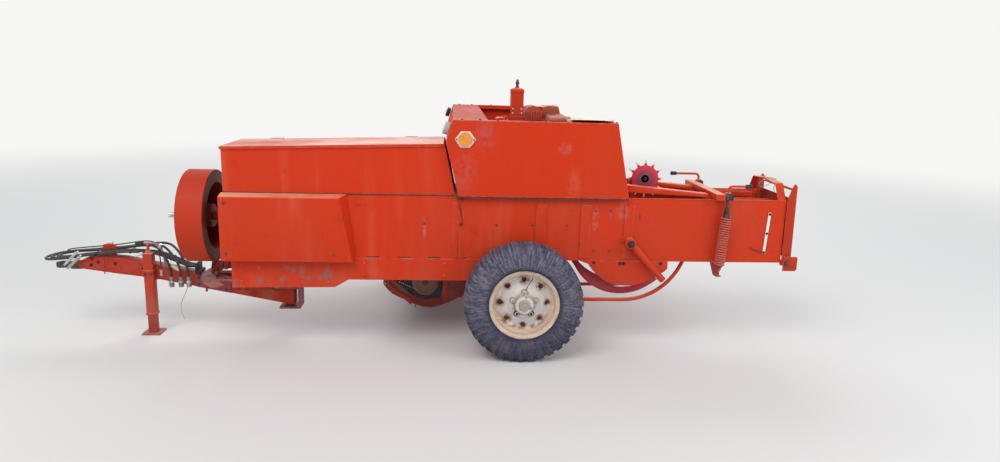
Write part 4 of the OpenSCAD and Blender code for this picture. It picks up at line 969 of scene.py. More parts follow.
def star_dressing():
    """Disc of the metering wheel with its twelve slim tines, and its greasy shaft."""
    blade = cut("star_tine",
                [bench(-13, -3, 80), bench(-1.2, -3, 129), bench(1.2, -3, 129), bench(13, -3, 80)],
                (0, 6, 0), star_paint)
    rounded(blade, 1.2, 1)
    moves = [Matrix.Translation(at(*STAR_HUB)) @ Matrix.Rotation(math.radians(90 - 30 * k), 4, "Y")
             for k in range(12)]
    tines = copied("star_tines", blade, moves)
    disc = turned("star_disc", [(-6, 0), (-6, 86), (-5, 90), (5, 90), (6, 86), (6, 0)], STAR_HUB, FAR, 48,
                  star_paint)
    star = joined("star_wheel_blades", [tines, disc])
    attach(star, "star_wheel")
    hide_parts("star_wheel")
    shaft = turned("star_shaft", [(-16, 0), (-16, 9), (-12, 12), (-6, 12), (-6, 26), (7, 26), (10, 22),
                                  (10, 12), (29, 12), (30, 0)], STAR_HUB, FAR, 24, greasy)
    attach(shaft, "star_wheel")


flat_bar_bolted()
spring_feet()
crank_clevis("left", SIDES[0], 1)
crank_clevis("right", SIDES[1], -1)
curved_needles()
star_dressing()


# Near wall
WALL_BOLTS = ((-171, 830), (59.5, 833), (281, 834), (-629, 835), (463, 932), (559, 933), (462, 669),
              (560, 670))
bolts("wall_bolts", 6.5, rusty_bolt, "chassis", on_side(0, NEAR, WALL_BOLTS))
bolts("far_wall_bolts", 9, rusty_bolt, "chassis", on_side(CHAMBER_W, FAR, WALL_BOLTS[4:]))
bolts("plate_bolts", 8, paint, "chassis", on_side(0, NEAR, (
    (-1780, 560), (-1780, 440), (-1240, 560), (-1240, 440), (-1010, 570), (-1010, 490), (-500, 570),
    (-500, 490), (240, 575))))
for x0, x1 in ((-454, -419), (-415, -379)):
    strip = cut("wall_seam", upright(0, [(x0, 606), (x1, 606), (x1, 970), (x0, 970)]), (0, -3, 0), paint)
    rounded(strip, 1.2)
    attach(strip, "chassis")
wire("grease_wire", [(-411, -42, 973), (-409, -20, 955), (-402, -9, 920), (-394, -8, 875), (-389, -8, 836),
                     (-393, -9, 825)], 2.2, dark_steel, "chassis")
top_roll = cut("wall_top_fold", upright(-3, [(690, 1011), (1640, 1011), (1640, 1019), (690, 1019)]),
               (0, 8, 0), paint)
rounded(top_roll, 2.5, 3)
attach(top_roll, "chassis")


# Sheet metal forms
def plates(name, node, body, finish, pieces, width=2.5):
    """Plates given as outline and thickness, joined to one piece that stands for a node."""
    items = [cut(name, points, depth, finish) for points, depth in pieces]
    item = rounded(joined(name, items), width)
    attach(item, body)
    if node:
        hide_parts(node)
    return item


def drive_shield():
    """Pressed shield over the drive: its face is smaller than its foot, so the ends and top slope."""
    x0, x1, z0, z1, out = -1885, -1061, 590, 1016, -70
    shield = cut("drive_shield_pressing", upright(0, [(x0, z0), (x1, z0), (x1 - 51, z1), (x0, z1)]),
                 (0, out, 0), paint)
    near = at(0, out + 5, 0).y
    for low, moved in ((True, (-13, 0, 0)), (False, (-44, 0, -19))):
        nudged(shield, lambda c: c.y < near and c.x > at(-1400, 0, 0).x and (c.z < 0.8) == low, moved)
    nudged(shield, lambda c: c.y < near and c.x < at(-1400, 0, 0).x and c.z > 0.8, (0, 0, -19))
    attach(rounded(shield, 7, 4), "chassis")
    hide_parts("drive_shield")
    bolts("shield_bolts", 8, rusty_bolt, "chassis",
          on_side(-70, NEAR, ((-1850, 960), (-1850, 640), (-1190, 640))))


def squeeze_rails():
    """Two channels that press the bale from above, hinged at the roof's rear edge."""
    upper = [(1640, 1012), (1218, 1023), (1206, 1045), (640, 1098)]
    lower = [(640, 1050), (1162, 1026), (1242, 986), (1640, 978)]
    hinge = [(600, 1018), (640, 1018), (680, 1052), (680, 1088), (640, 1096), (626, 1058)]
    pieces = []
    for y in (40, 392):
        pieces += [(upright(y, upper + lower), (0, 6, 0)), (upright(y + 64, upper + lower), (0, 6, 0)),
                   (upright(y + 6, lower + [(x, z + 8) for x, z in reversed(lower)]), (0, 58, 0)),
                   (upright(y + 6, [upper[2], upper[3], (640, 1092), (1206, 1039)]), (0, 58, 0)),
                   (upright(y + 20, hinge), (0, 30, 0))]
    plates("squeeze_rails", "tension_rails", "chassis", paint, pieces, 1.5)


def squeeze_beam():
    beam = block("squeeze_beam", (1220, -71, 1023), (1280, 593, 1063), paint)
    for way in (UP, BACK):
        pressed(beam, facing(way), (7, -1.5))
    ends = [block("beam_end", (1276, y - 22, 1027), (1330, y + 22, 1059), paint) for y in SIDES]
    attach(rounded(joined("squeeze_beam", [beam] + ends), 3), "chassis")
    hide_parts("tension_beam")


def squeeze_cranks():
    """Screws through the beam, each bent over to a handle with a dark grip."""
    items = []
    for y, way, far in ((SIDES[0], 1, 150), (SIDES[1], -1, 206)):
        bend = [(SPRING_X + way * 26 * (1 - math.cos(a)), y, 1086 + 26 * math.sin(a))
                for a in (math.radians(15 * k) for k in range(7))]
        path = [(SPRING_X, y, 966), (SPRING_X, y, 1060)] + bend + [(SPRING_X + way * (far - 20), y, 1112)]
        grip = [(0, 0), (0, 10), (way * 3, 13), (way * 38, 14), (way * 42, 9), (way * 42, 0)]
        collar = [(-1, 9), (-1, 17), (2, 19), (9, 19), (12, 16), (12, 9)]
        items += [wire("crank", path, 8, paint_crank, "chassis", steps=1, sides=4),
                  turned("grip", grip, (SPRING_X + way * (far - 42), y, 1112), BACK, 24, paint_crank),
                  turned("collar", collar, (SPRING_X, y, 1060), UP, 24, paint_crank)]
    cranks = joined("squeeze_cranks", items)
    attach(cranks, "chassis")
    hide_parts("tension_cranks")


def star_bracket():
    plate = cut("star_bracket", upright(229, [(606, CHAMBER_TOP), (640, CHAMBER_TOP), (846, 1093),
                                              (848, 1129), (838, 1137), (804, 1133), (606, 1052)]),
                (0, 8, 0), paint)
    foot = cut("star_foot",
               [(x, y, CHAMBER_TOP) for x, y in ((606, 215), (650, 215), (650, 260), (606, 260))],
               (0, 0, 6), paint)
    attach(rounded(joined("star_bracket", [plate, foot]), 2), "chassis")
    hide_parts("star_arm")


def chamber_hoop():
    """Bent flat bar over the chamber's rear end."""
    half = [(0, 0), (66, 104), (251, 116)]
    inner = [(4, 0), (70, 98), (251, 110)]
    far = [(CHAMBER_W - y, z) for y, z in reversed(half[:2])]
    back = [(CHAMBER_W - y, z) for y, z in inner[:2]]
    outline = half + far + back + inner[::-1]
    plates("chamber_hoop", None, "chassis", paint,
           [([(1652, y, CHAMBER_TOP + z) for y, z in outline], (54, 0, 0))], 2)


def chute_frame():
    """Folding end of the chamber: two side plates, a cross plate, a round bar and the hinge plates."""
    side = [(1712, 585), (1776, 585), (1770, 1109), (1762, 1124), (1752, 1128), (1742, 1116), (1712, 1030)]
    pieces = [(upright(-12, side), (0, 6, 0)), (upright(508, side), (0, 6, 0)),
              (upright(-6, [(1770, 620), (1776, 620), (1772, 1023), (1766, 1023)]), (0, 514, 0))]
    for y in (-20, 514):
        pieces.append((upright(y, [(1724, 550), (1810, 550), (1819, 560), (1819, 640), (1811, 647),
                                   (1724, 647)]), (0, 8, 0)))
    plates("chute_frame", "bale_chute", "bale_chute", paint_chute, pieces, 2)
    bar = turned("chute_bar", [(-14, 0), (-14, 7), (-12, 8), (514, 8), (516, 7), (516, 0)],
                 (1752, 0, 1089), FAR, 24, paint_chute)
    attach(bar, "bale_chute")
    bolts("chute_pins", 15, rusty_bolt, "bale_chute", [((1746, -20, 605), NEAR), ((1746, 522, 605), FAR)])


def segments_below():
    """Curved plates under the chamber, trimmed where the yoke's bar swings past."""
    pivot, middle = Vector((YOKE_X, YOKE_Z)), Vector((660, 862))
    reach, trimmed, first, last, trim_end, steps = 430, 298, -149, -34, -43.2, 46
    outline = [(957, CHAMBER_FLOOR), (372, CHAMBER_FLOOR)]
    for k in range(steps + 1):
        a = math.radians(first + (last - first) * k / steps)
        way = Vector((math.cos(a), math.sin(a)))
        lead = (middle - pivot).dot(way)
        far = lead + math.sqrt(max(0, reach ** 2 - (middle - pivot).length_squared + lead * lead))
        if math.degrees(a) < trim_end:
            far = min(far, trimmed)
        outline.append(tuple(pivot + way * far))
    plates("segments_below", "segment_plates", "chassis", paint,
           [(upright(y, outline), (0, 3, 0)) for y in (0, CHAMBER_W - 3)], 0.8)
    for y, way in ((0, NEAR), (CHAMBER_W, FAR)):
        bolts("segment_bolts_" + ("left" if way == NEAR else "right"), 9, dark_steel, "chassis",
              on_side(y, way, ((469, 590), (640, 586), (664, 586), (910, 588))))


def needle_yoke():
    """Two thick arms on the chamber's pivots and the bar across them that carries the needles."""
    pivot, bar = Vector((YOKE_X, 0, YOKE_Z)), Vector((NEEDLE_BAR_X, 0, NEEDLE_BAR_Z))
    way = (bar - pivot).normalized()
    items = [rod("yoke_bar", (bar.x, -40, bar.z), (bar.x, 542, bar.z), 14, paint, 32)]
    for y, out in ((-40, -1), (542, 1)):
        tip = bar + way * 21
        items.append(rod("yoke_arm", (704, y, 716), (tip.x, y, tip.z), 24, paint, 32, 22))
        boss = [(-24, 0), (-24, 30), (-20, 34), (20, 34), (24, 30), (24, 0)]
        items.append(turned("yoke_boss", [(out * d, r) for d, r in boss], (YOKE_X, y, YOKE_Z), FAR, 36,
                            paint))
    yoke = rounded(joined("needle_yoke_arms", items), 2.5, 2, 50)
    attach(yoke, "needle_yoke")
    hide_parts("yoke")
    for y, out in ((-78, NEAR), (580, FAR)):
        bolts("yoke_nut_" + ("left" if out == NEAR else "right"), 19, greasy, "chassis",
              [((pivot.x, y, pivot.z), out)], 8)


def pickup_sides():
    """Side plates of the pickup with their folded rims, and the tube behind its bands."""
    front = [(-702, 457), (-880, 402), (-935, 300), (-913, 251), (-863, 204), (-762, 156), (-698, 128),
             (-602, 109), (-500, 138), (-400, 185), (-350, 215)]
    back = [(-323, 410), (-323, 534), (-335, 549), (-371, 549)]
    outline = front + back
    items = [cut("pickup_side", upright(y, outline), (0, 6, 0), paint_pickup) for y in (532, 1728)]
    for y in (532, 1734):
        items.append(wire("pickup_rim", upright(y, outline[:12]), 5, paint_pickup, "pickup", steps=3,
                          sides=2))
    items.append(rod("pickup_tube", (-375, 538, 455), (-375, 1728, 455), 25, paint_pickup, 32))
    frame_sides = rounded(joined("pickup_sides", items), 1.5, 1)
    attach(frame_sides, "pickup")
    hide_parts("pickup_frame")


def drawbar_beam():
    """Box beam that tapers to its nose, its swivel boss and the bolted side plates."""
    low = [(-2922, 432), (-2668, 396), (-2465, 372), (-1540, 190), (-1520, 190)]
    high = [(-1520, 300), (-1640, 300), (-2640, 503), (-2844, 520), (-2945, 468)]
    beam = rounded(cut("drawbar_beam", upright(310, low + high), (0, 100, 0), paint_bar), 7, 3)
    sides = [cut("side_plate", upright(y, [(-2172, 316), (-1942, 272), (-1942, 385), (-2172, 394)]),
                 (0, 8, 0), paint_bar) for y in (302, 410)]
    boss = turned("swivel_boss", [(-15, 24), (-15, 34), (-10, 36), (95, 36), (101, 34), (101, 24)],
                  (-1560, 360, 200), UP, 36, paint_bar)
    sides = [rounded(plate, 2) for plate in sides]
    beam = joined("drawbar_beam", [beam, boss] + sides)
    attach(beam, "drawbar")
    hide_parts("drawbar")


def jack_stand():
    """Square jack tube with its clamp plate, and the crank bent down beside it."""
    x, y, s = -2455, 275, 30
    tube = block("jack_outer", (x - s, y - s, 130), (x + s, y + s, 552), paint_jack)
    pressed(tube, facing(UP), (6, 3), (6, 4))
    pressed(tube, facing(DOWN), (3.5, -10))
    clamp = block("jack_clamp", (x - 45, y + s - 1, 362), (x + 45, y + s + 5, 470), paint_jack)
    sleeve = block("jack_band", (x - s - 4, y - s - 4, 396), (x + s + 4, y + s + 2, 440), paint_jack)
    lower = block("jack_lip", (x - s - 3, y - s - 3, 130), (x + s + 3, y + s + 3, 146), paint_jack)
    items = [rounded(piece, 3) for piece in (tube, clamp, sleeve, lower)]
    items.append(turned("jack_neck", [(-10, 0), (-8, 20), (6, 20), (12, 12), (16, 9), (54, 9), (60, 0)],
                        (x, y, 560), UP, 24, paint_jack))
    items.append(wire("jack_crank", upright(y, [(-2500, 617), (-2440, 619), (-2400, 616), (-2376, 600),
                                                (-2363, 560), (-2354, 510), (-2350, 470)]), 6.5,
                      paint_jack, "drawbar", steps=5))
    jack = joined("jack_outer", items)
    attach(jack, "drawbar")
    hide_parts("jack_tube")


def lamp_units():
    """Round lamps on the hood's slope, each in a dark shell, and the reflector on its board."""
    slope = math.radians(17.3)
    out = Vector((-math.cos(slope), 0, math.sin(slope)))
    items = []
    for y, shell in ((60, silver_shell), (1890, lamp_shell)):
        foot = Vector((-481, y, 1428))
        case = turned("lamp_shell", [(-2, 0), (0, 30), (2, 38), (24, 40), (30, 40), (33, 37), (30, 34),
                                     (28, 34), (28, 0)], bench(0, 0, 0), UP, 32, shell)
        face = turned("lamp_face", [(28, 33.8), (33, 32), (39, 24), (42, 10), (42.6, 0)], bench(0, 0, 0),
                      UP, 32, white_lamp)
        for part in (case, face):
            part.data.transform(stood(tuple(foot), out))
            items.append(part)
    board = cut("reflector_board", upright(-40, [(REFLECTOR_X + x, REFLECTOR_Z + z) for x, z in (
        (-66, 0), (-28, 51), (28, 51), (66, 0), (28, -51), (-28, -51))]), (0, -6, 0), reflector_board)
    items.append(rounded(board, 4, 3))
    items += [rod("board_screw", (REFLECTOR_X + x, -45.5, REFLECTOR_Z),
                  (REFLECTOR_X + x, -49, REFLECTOR_Z), 4.5, greasy, 12) for x in (-54, 54)]
    lamps = joined("lamp_units", items)
    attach(lamps, "chassis")
    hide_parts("lamps")
    lens = turned("reflector_glass",
                  [(0, 0), (0, 43), (-5, 43), (-8, 41), (-8, 38), (-6, 36), (-6.6, 18), (-7, 0)],
                  (REFLECTOR_X, -46, REFLECTOR_Z), FAR, 40, amber)
    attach(lens, "chassis")
    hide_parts("reflector_lens")


drive_shield()
squeeze_rails()
squeeze_beam()
squeeze_cranks()
star_bracket()
chamber_hoop()
chute_frame()
segments_below()
needle_yoke()
pickup_sides()
drawbar_beam()
jack_stand()
lamp_units()


# Drawbar
def drawbar_fittings():
    """Bolts, weld, saddle and latch of the drawbar."""
    near = 310
    bolts("beam_bolts", 9, dark_steel, "drawbar", on_side(near, NEAR, (
        (-2838, 500), (-2846, 458), (-2800, 478), (-2510, 438), (-2470, 410), (-2690, 470))))
    bolts("side_plate_bolts", 8, rusty_bolt, "drawbar", on_side(302, NEAR, (
        (-2150, 380), (-2150, 330), (-1970, 372), (-1970, 294))))
    weld = rod("beam_weld", (-2761, near - 1, 398), (-2763, near - 1, 508), 4, paint_bar, 10)
    chosen(weld, lambda middle, normal: abs(normal.z) < 0.5)
    bpy.ops.mesh.subdivide(number_cuts=5)
    shut()
    ripple = weld.modifiers.new("ripple", "DISPLACE")
    ripple.texture = bpy.data.textures.new("weld_ripple", "CLOUDS")
    ripple.texture.noise_scale = 0.006
    ripple.strength = 0.003
    bpy.ops.object.modifier_apply(modifier=ripple.name)
    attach(weld, "drawbar")

    post = cut("saddle", upright(398, [(-2804, 514), (-2714, 505), (-2714, 572), (-2730, 580),
                                       (-2788, 580), (-2804, 572)]), (0, 9, 0), paint_bar)
    pressed(post, facing(FAR), (10, -3))
    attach(rounded(post, 2.5), "drawbar")
    cap = rod("saddle_roller", (-2771, 402, 589), (-2734, 402, 589), 9, white_paint)
    pressed(cap, lambda middle, normal: abs(normal.x) > 0.9, (3, -2))
    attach(rounded(cap, 1.5), "drawbar")

    wire("latch_rod", [(-2012, 331, 474), (-2020, 330, 476), (-2030, 327, 462), (-2060, 306, 404),
                       (-2082, 293, 365), (-2094, 290, 320), (-2098, 290, 286)], 7, paint_dull, "drawbar",
         sides=4)
    for x in (-2024, -1986):
        lug = cut("latch_lug", upright(326, [(x, 476), (x + 26, 476), (x + 26, 430), (x, 430)]),
                  (0, 6, 0), paint_dull)
        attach(rounded(lug, 2), "chassis")


def hose_dressing():
    """Steel ends lying on the hoses, a dust plug, ties, a tag, loose twine and rings on the couplers."""
    body = "drawbar"
    for i, (a, b) in enumerate((((-2899, 262, 560), (-2990, 256, 470)),
                                ((-2884, 264, 534), (-2974, 259, 444)))):
        way = (Vector(b) - Vector(a)).normalized()
        ends = [Vector(a) + way * d for d in (0, 14, 30, 92, 108, 128)]
        tube = rod("steel_end", a, ends[5], 7.5, bright_steel, 20)
        hexes = [rod("hex", ends[k], ends[k + 1], 12, bright_steel, 6) for k in (1, 3)]
        collar = rod("collar", ends[2], ends[3], 9.6, bright_steel, 20)
        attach(rounded(joined(f"steel_hose_end_{i}", [tube, collar] + hexes), 1.2, 1), body)
    plug = rod("dust_plug", (-2552, 308, 526), (-2508, 308, 540), 11, white_paint, 20)
    pressed(plug, lambda middle, normal: abs(normal.x) > 0.6, (3, 5))
    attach(rounded(plug, 2), body)
    for i, (x, y, z, wide, high) in enumerate(((-2590, 356, 548, 54, 20), (-2330, 365, 499, 54, 20),
                                               (-2800, 332, 536, 52, 20))):
        loop = [(x, y + wide * math.cos(a), z + high * 0.62 * math.sin(a))
                for a in (2 * math.pi * k / 24 for k in range(25))]
        wire(f"hose_tie_{i}", loop, 2.4, hose_rubber_and_shade, body, steps=1, sides=2)
    tag = cut("tag", upright(250, [(-2300, 486), (-2262, 466), (-2244, 440), (-2252, 434), (-2280, 446),
                                   (-2306, 470)]), (0, -2.5, 0), tag_board)
    pressed(tag, facing(NEAR), (2.5, 0.6))
    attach(rounded(tag, 0.8), body)
    wire("tag_string", [(-2292, 249, 476), (-2302, 250, 486), (-2318, 252, 494), (-2326, 256, 502)], 1.3,
         twine, body)
    wire("twine_end", [(-2206, 250, 352), (-2209, 250, 322), (-2222, 250, 290), (-2243, 249, 246),
                       (-2257, 248, 200), (-2256, 248, 160), (-2247, 249, 126), (-2238, 250, 102)], 2.4,
         twine, body)
    for i, (x, y, z) in enumerate(((-2198, 254, 372), (-2248, 252, 372), (-2308, 250, 372))):
        ring = turned(f"coupler_ring_{i}",
                      [(-14, 16.5), (-12, 18.5), (-2, 18.5), (0, 16.5), (2, 13), (-16, 13), (-14, 16.5)],
                      (x, y, z), UP, 24, bright_steel)
        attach(ring, body)


def jack_fittings():
    """Bright joint of the jack's crank, its grip and the bolts of its clamp."""
    at_joint = (-2375, 275, 600)
    joint = turned("crank_joint", [(-17, 0), (-15, 13), (-9, 16), (8, 16), (15, 12), (17, 0)], at_joint,
                   UP, 24, bright_steel)
    joint.data.transform(about(at_joint, (0, 1, 0), 25))
    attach(joint, "drawbar")
    grip = turned("crank_grip", [(0, 0), (0, 9), (4, 12.5), (16, 11.5), (28, 13.5), (40, 11.5), (50, 12.5),
                                 (54, 9), (54, 0)], (-2534, 275, 617), BACK, 24, greasy)
    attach(grip, "drawbar")
    bolts("jack_clamp_bolts", 9, rusty_bolt, "drawbar",
          on_side(241, NEAR, ((-2474, 418), (-2436, 418))))


def power_shaft():
    """Splined end of the drive shaft with its locking groove, and the flywheel's hub bolts."""
    x0, y, z = -2297, DRIVE_Y, DRIVE_Z
    core = turned("spline_core", [(0, 0), (0, 12), (3, 14.6), (26, 14.6), (28, 12.5), (38, 12.5),
                                  (40, 14.6), (112, 14.6), (112, 0)], (x0, y, z), BACK, 36, bright_steel)
    tooth = block("tooth", (x0 + 1, y - 4, z + 12), (x0 + 90, y + 4, z + 17.2), bright_steel)
    chosen(tooth, facing(UP))
    bpy.ops.transform.resize(value=(1, 0.7, 1))
    shut()
    teeth = copied("splines", tooth, [about((x0, y, z), (1, 0, 0), 60 * k) for k in range(6)])
    flange = turned("shaft_flange",
                    [(86, 14), (88, 24), (108, 26), (110, 58), (113, 62), (138, 62), (140, 58), (140, 14)],
                    (x0, y, z), BACK, 48, steel)
    stub = joined("splined_stub", [core, teeth, flange])
    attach(stub, "flywheel")
    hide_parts("pto_stub")
    ring = [(x0 + 110, y + 44 * math.cos(a), z + 42 * math.sin(a))
            for a in (math.radians(60 * k + 30) for k in range(6))]
    bolts("hub_bolts", 9, dark_steel, "flywheel", [(place, AHEAD) for place in ring])


drawbar_fittings()
hose_dressing()
jack_fittings()
power_shaft()


# Hood's top
def hood_cover_sheet():
    """Loose pale cover over the knotters: a thin sheet, lifted at one corner and dipped at another, on four
    strap legs.
    """
    x0, x1, y0, y1, z = 250, 560, 10, 512, 1506
    sheet = block("cover_sheet", (x0, y0, z - 2), (x1, y1, z), paint_cover)
    chosen(sheet, lambda middle, normal: True)
    bpy.ops.mesh.subdivide(number_cuts=7)
    shut()
    nudged(sheet, lambda c: c.x < at(x0 + 70, 0, 0).x and c.y > at(0, 300, 0).y, (0, 0, 10))
    nudged(sheet, lambda c: c.x > at(x1 - 60, 0, 0).x and c.y < at(0, 200, 0).y, (0, 0, -4))
    soft = sheet.modifiers.new("soften", "SMOOTH")
    soft.iterations = 4
    bpy.ops.object.modifier_apply(modifier=soft.name)
    bpy.ops.object.shade_smooth_by_angle(angle=math.radians(35))
    legs = []
    for x, y in ((257, 20), (257, 502), (533, 72), (533, 438)):
        leg = cut("leg", upright(y, [(x, 1490), (x + 26, 1490), (x + 32, 1505), (x - 6, 1505)]), (0, 3, 0),
                  paint_cover)
        foot = block("foot", (x, y, 1490.3), (x + 26, y + 16, 1493), paint_cover)
        legs += [leg, foot]
    cover = joined("loose_cover", [sheet] + legs)
    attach(cover, "chassis")
    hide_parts("hood_cover")


def shell_plate(name, points, depth, finish, bend=2.5):
    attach(rounded(cut(name, points, depth, finish), bend), "chassis")


def hood_top_parts():
    """Guards and flaps over the feeder's drive, and the cap of its crank."""
    arch = [(3, 1486), (3, 1530), (10, 1556), (26, 1572), (57, 1579), (88, 1572), (104, 1556), (111, 1530),
            (111, 1486)]
    inner = [(107, 1486), (107, 1530), (100, 1553), (86, 1567), (57, 1574), (28, 1567), (14, 1553),
             (7, 1530), (7, 1486)]
    guard = cut("crank_guard", upright(150, arch + inner), (0, 190, 0), paint_dull_top)
    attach(rounded(guard, 2), "chassis")
    for name, y in (("crank_guard_back", 336), ("crank_guard_front", 150)):
        end = cut(name, upright(y, arch), (0, 4, 0), paint_dull_top)
        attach(rounded(end, 1.2, 1), "chassis")
    rib = block("guard_rib", (9, 143, 1488), (15, 151, 1545), paint_dull_top)
    ribs = copied("guard_ribs", rounded(rib, 2),
                  [Matrix.Translation((0.0155 * k, 0, 0)) for k in range(7)])
    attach(ribs, "chassis")
    shell_plate("rusty_flap",
                upright(330, [(128, 1492), (140, 1566), (176, 1574), (240, 1570), (262, 1492)]),
                (0, 4, 0), rusty_sheet)
    shell_plate("rusty_flap_top", [(134, 334, 1562), (134, 420, 1572), (238, 420, 1576), (238, 334, 1566)],
                (0, 0, 3), rusty_sheet, 1)
    shell_plate("low_lid", [(138, 30, 1490.5), (138, 250, 1490.5), (150, 250, 1512), (150, 30, 1502)],
                (152, 0, 0), paint_dull_top)
    shell_plate("low_lid_over", [(150, 60, 1503), (150, 300, 1520), (250, 300, 1524), (280, 60, 1507)],
                (0, 0, 3), paint_dull_top, 1)
    shell_plate("bracket_red", upright(205, [(-181, 1440), (-120, 1440), (-120, 1490), (-134, 1498),
                                             (-170, 1498), (-181, 1490)]), (0, 70, 0), paint)
    shell_plate("bracket_foot", [(-186, 40, 1436), (-114, 40, 1436), (-114, 300, 1436), (-186, 300, 1436)],
                (0, 0, 5), paint, 1)
    cap = block("feeder_cap", (-53, 652, 1640), (41, 748, 1666), paint)
    pressed(cap, facing(UP), (12, 8), (14, 5))
    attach(rounded(cap, 5, 3), "chassis")
    stem = turned("feeder_stem", [(-24, 0), (-24, 16), (-16, 16), (-12, 10), (2, 10), (4, 13), (18, 13),
                                  (22, 8), (34, 8), (35, 0)], (-6, 700, 1700), UP, 24, rusty_bolt)
    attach(stem, "chassis")
    bolts("feeder_base_bolts", 6, bright_steel, "chassis", on_side(655, NEAR, (
        (-36, 1500), (-36, 1530), (24, 1500), (24, 1530))))
    edges = ((20, (-400, -290, -180, 120, 570)), (2075, (-400, -290, -120, 60, 240)))
    bolts("hood_edge_bolts", 7, rusty_bolt, "chassis",
          [((x, y, HOOD_TOP), UP) for y, row in edges for x in row])


hood_cover_sheet()
hood_top_parts()


# Pickup drive, painted gap shade and twine
def pickup_drive():
    """Guard, chain, belt and sprocket at the pickup's near end, and a dark sheet of painted shade in its
    recess.
    """
    y = 530
    guard = cut("pickup_guard", upright(y, [(-934, 316), (-920, 279), (-878, 208), (-785, 163),
                                            (-745, 126), (-722, 150), (-760, 186), (-842, 240),
                                            (-890, 290), (-900, 330)]), (0, -6, 0), paint_guard)
    lip = wire("guard_lip",
               [(-905, y - 8, 296), (-862, y - 9, 238), (-800, y - 9, 196), (-752, y - 8, 168)], 5,
               paint_spring, "pickup")
    panel = cut("pickup_panel", upright(y, [(-516, 320), (-480, 320), (-470, 172), (-512, 158)]),
                (0, -5, 0), paint_guard)
    guard = joined("pickup_guard", [rounded(guard, 2), rounded(panel, 2), lip])
    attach(rounded(guard, 0.4, 1), "pickup")
    # A thin dark sheet of painted shade in the drive's recess.
    shade = cut("drive_recess_shade",
                upright(y + 1.5, [(-880, 320), (-725, 190), (-640, 166), (-530, 178), (-510, 320)]),
                (0, -2.5, 0), greasy)
    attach(rounded(shade, 0.8, 1), "pickup")
    link = turned("chain_link", [(-3, 0), (-3, 3.2), (-2, 4.2), (2, 4.2), (3, 3.2), (3, 0)],
                  bench(0, 0, 0), UP, 12, bright_steel)
    start, end = Vector((-822, y - 7, 296)), Vector((-700, y - 7, 240))
    chain = copied("pickup_chain", link, [stood(tuple(start.lerp(end, k / 9)), NEAR) for k in range(10)])
    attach(chain, "pickup")
    hub = (-640, y, 292)
    disc = turned("reel_disc", [(-12, 0), (-12, 16), (-7, 18), (-5, 60), (-8, 66), (-8, 92), (-4, 96),
                                (-1, 96), (-1, 0)], hub, FAR, 48, dusty_disc)
    belt = turned("reel_belt",
                  [(-1, 96), (-2, 106), (-5, 108), (-9, 108), (-11, 105), (-10, 97), (-4, 95)], hub, FAR,
                  48, hose_rubber_and_shade)
    boss = turned("reel_boss", [(-10, 0), (-10, 20), (-14, 20), (-16, 17), (-16, 9), (-19, 8), (-19, 0)],
                  hub, FAR, 32, rusty_bolt)
    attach(joined("reel_disc", [disc, belt, boss]), "pickup_reel")


def painted_gap_shade():
    """Dark strips of painted shade in the gaps under the hood and twine box and behind the wall's slots,
    and the linkage over the drawbar.
    """
    # Black strips of painted shade in the gaps under the hood and twine box.
    hood = block("hood_gap_shade", (-436, -38, 1009), (660, -3, 1018), hose_rubber_and_shade)
    box = block("box_gap_shade", (-1866, -3, 1011), (-446, 0, 1019), hose_rubber_and_shade)
    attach(rounded(joined("gap_shade_strips", [hood, box]), 1, 1), "chassis")
    # A dark strip of painted shade behind the wall's slots.
    slots = block("slot_shade", (-1012, 2.6, 604), (-343, 4.6, 620), greasy)
    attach(rounded(slots, 0.4, 1), "chassis")
    plate = cut("linkage_plate", upright(425, [(-2104, 411), (-1846, 411), (-1846, 462), (-2096, 462)]),
                (0, 6, 0), paint_hanger)
    edge = cut("linkage_edge", upright(417, [(-2100, 464), (-1846, 464), (-1846, 470), (-2100, 470)]),
               (0, 16, 0), silver_shell)
    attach(rounded(joined("drawbar_linkage", [plate, edge]), 1.2, 1), "chassis")


def rear_twine():
    """Twine left hanging over the chamber's rear hoop."""
    wire("rear_twine_a", [(1640, 150, 1136), (1604, 158, 1128), (1588, 170, 1100), (1612, 185, 1078),
                          (1655, 190, 1092), (1696, 186, 1122), (1704, 180, 1137), (1668, 172, 1137),
                          (1648, 200, 1137), (1652, 262, 1137)], 2, twine, "chassis")
    wire("rear_twine_b",
         [(1700, 240, 1137), (1716, 235, 1122), (1719, 225, 1085), (1710, 210, 1062), (1716, 200, 1036)],
         2, twine, "chassis")


def far_side_bolts():
    """Screws of the hood's and feeder table's sheets at the back and right end, and the rolled top edge."""
    back, end, table = 326, 2100, 1806
    rows = [((back, y, z), BACK) for z in (1032, 1462) for y in range(620, 2080, 180)]
    rows += [((back + 6, y, 990), BACK) for y in range(660, 1800, 190)]
    rows += [((x, end, z), FAR) for z in (1045, 1460) for x in (-380, -250, -120, 10, 140, 270)]
    rows += [((x, table, z), FAR) for z in (600, 980) for x in (-360, -180, 0, 180, 300)]
    bolts("far_side_screws", 6, rusty_bolt, "chassis", rows)
    wire("hood_rolled_edge", [(back - 2, y, HOOD_TOP - 3) for y in (520, 900, 1300, 1700, 2092)], 6,
         paint_hood, "chassis", steps=1)


pickup_drive()
painted_gap_shade()
far_side_bolts()
rear_twine()


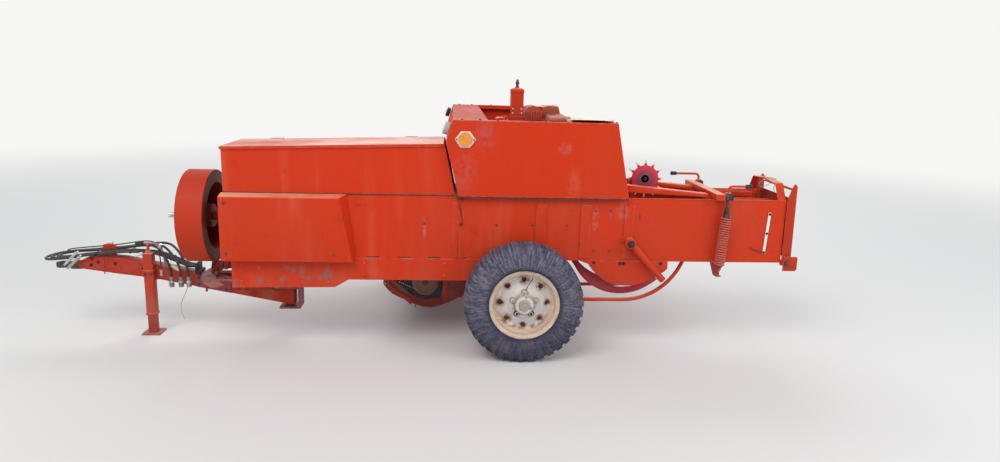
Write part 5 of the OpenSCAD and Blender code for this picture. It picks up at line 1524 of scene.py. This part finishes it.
# Floor and light
def stage_set():
    bpy.ops.mesh.primitive_plane_add(size=120, location=(0, 0, 0))
    floor = bpy.context.object
    floor.name = "studio_floor"
    f = Finish("studio_floor", 0.9, specular=0.1)
    f.done((0.74, 0.73, 0.71))
    glow = f.add("ShaderNodeEmission")
    glow.inputs["Color"].default_value = (0.93, 0.925, 0.915, 1)
    away = f.add("ShaderNodeVectorMath", operation="LENGTH")
    f.feed(away.inputs[0], f.place)
    far = f.step(away.outputs["Value"], 3.5, 14.0)
    blend = f.add("ShaderNodeMixShader")
    f.feed(blend.inputs[0], far)
    f.feed(blend.inputs[1], f.shader.outputs[0])
    f.feed(blend.inputs[2], glow.outputs[0])
    f.feed(f.tree.nodes["Material Output"].inputs["Surface"], blend.outputs[0])
    floor.data.materials.append(f.material)
    world = bpy.data.worlds.new("studio")
    scene.world = world
    world.use_nodes = True
    tree = world.node_tree
    light = tree.nodes["Background"]
    light.inputs["Color"].default_value = (0.86, 0.92, 1.0, 1)
    light.inputs["Strength"].default_value = 0.55
    shown = tree.nodes.new("ShaderNodeBackground")
    shown.inputs["Color"].default_value = (0.93, 0.925, 0.915, 1)
    rays = tree.nodes.new("ShaderNodeLightPath")
    seen = tree.nodes.new("ShaderNodeMath")
    seen.operation = "MAXIMUM"
    either = tree.nodes.new("ShaderNodeMath")
    either.operation = "MAXIMUM"
    pick = tree.nodes.new("ShaderNodeMixShader")
    link = tree.links.new
    link(rays.outputs["Is Camera Ray"], seen.inputs[0])
    link(rays.outputs["Is Glossy Ray"], seen.inputs[1])
    link(seen.outputs[0], either.inputs[0])
    link(rays.outputs["Is Transmission Ray"], either.inputs[1])
    link(either.outputs[0], pick.inputs[0])
    link(light.outputs[0], pick.inputs[1])
    link(shown.outputs[0], pick.inputs[2])
    link(pick.outputs[0], tree.nodes["World Output"].inputs["Surface"])


def soft_light(name, place, target, size, power, colour=(1, 1, 1)):
    data = bpy.data.lights.new(name, "AREA")
    data.shape = "RECTANGLE"
    data.size, data.size_y = size
    data.energy = power
    data.color = colour
    item = bpy.data.objects.new(name, data)
    scene.collection.objects.link(item)
    item.location = place
    item.rotation_euler = (Vector(target) - Vector(place)).to_track_quat("-Z", "Y").to_euler()


stage_set()
soft_light("key_light", (-3.0, -6.5, 7.5), (0.2, 0, 0.7), (6, 5), 470, (1.0, 0.97, 0.93))
soft_light("fill_light", (6.5, -5.0, 4.0), (0.2, 0, 0.7), (5, 4), 190)
soft_light("rear_light", (1.0, 7.0, 6.0), (0, 0, 0.8), (8, 4), 380)
scene.view_settings.view_transform = "Standard"
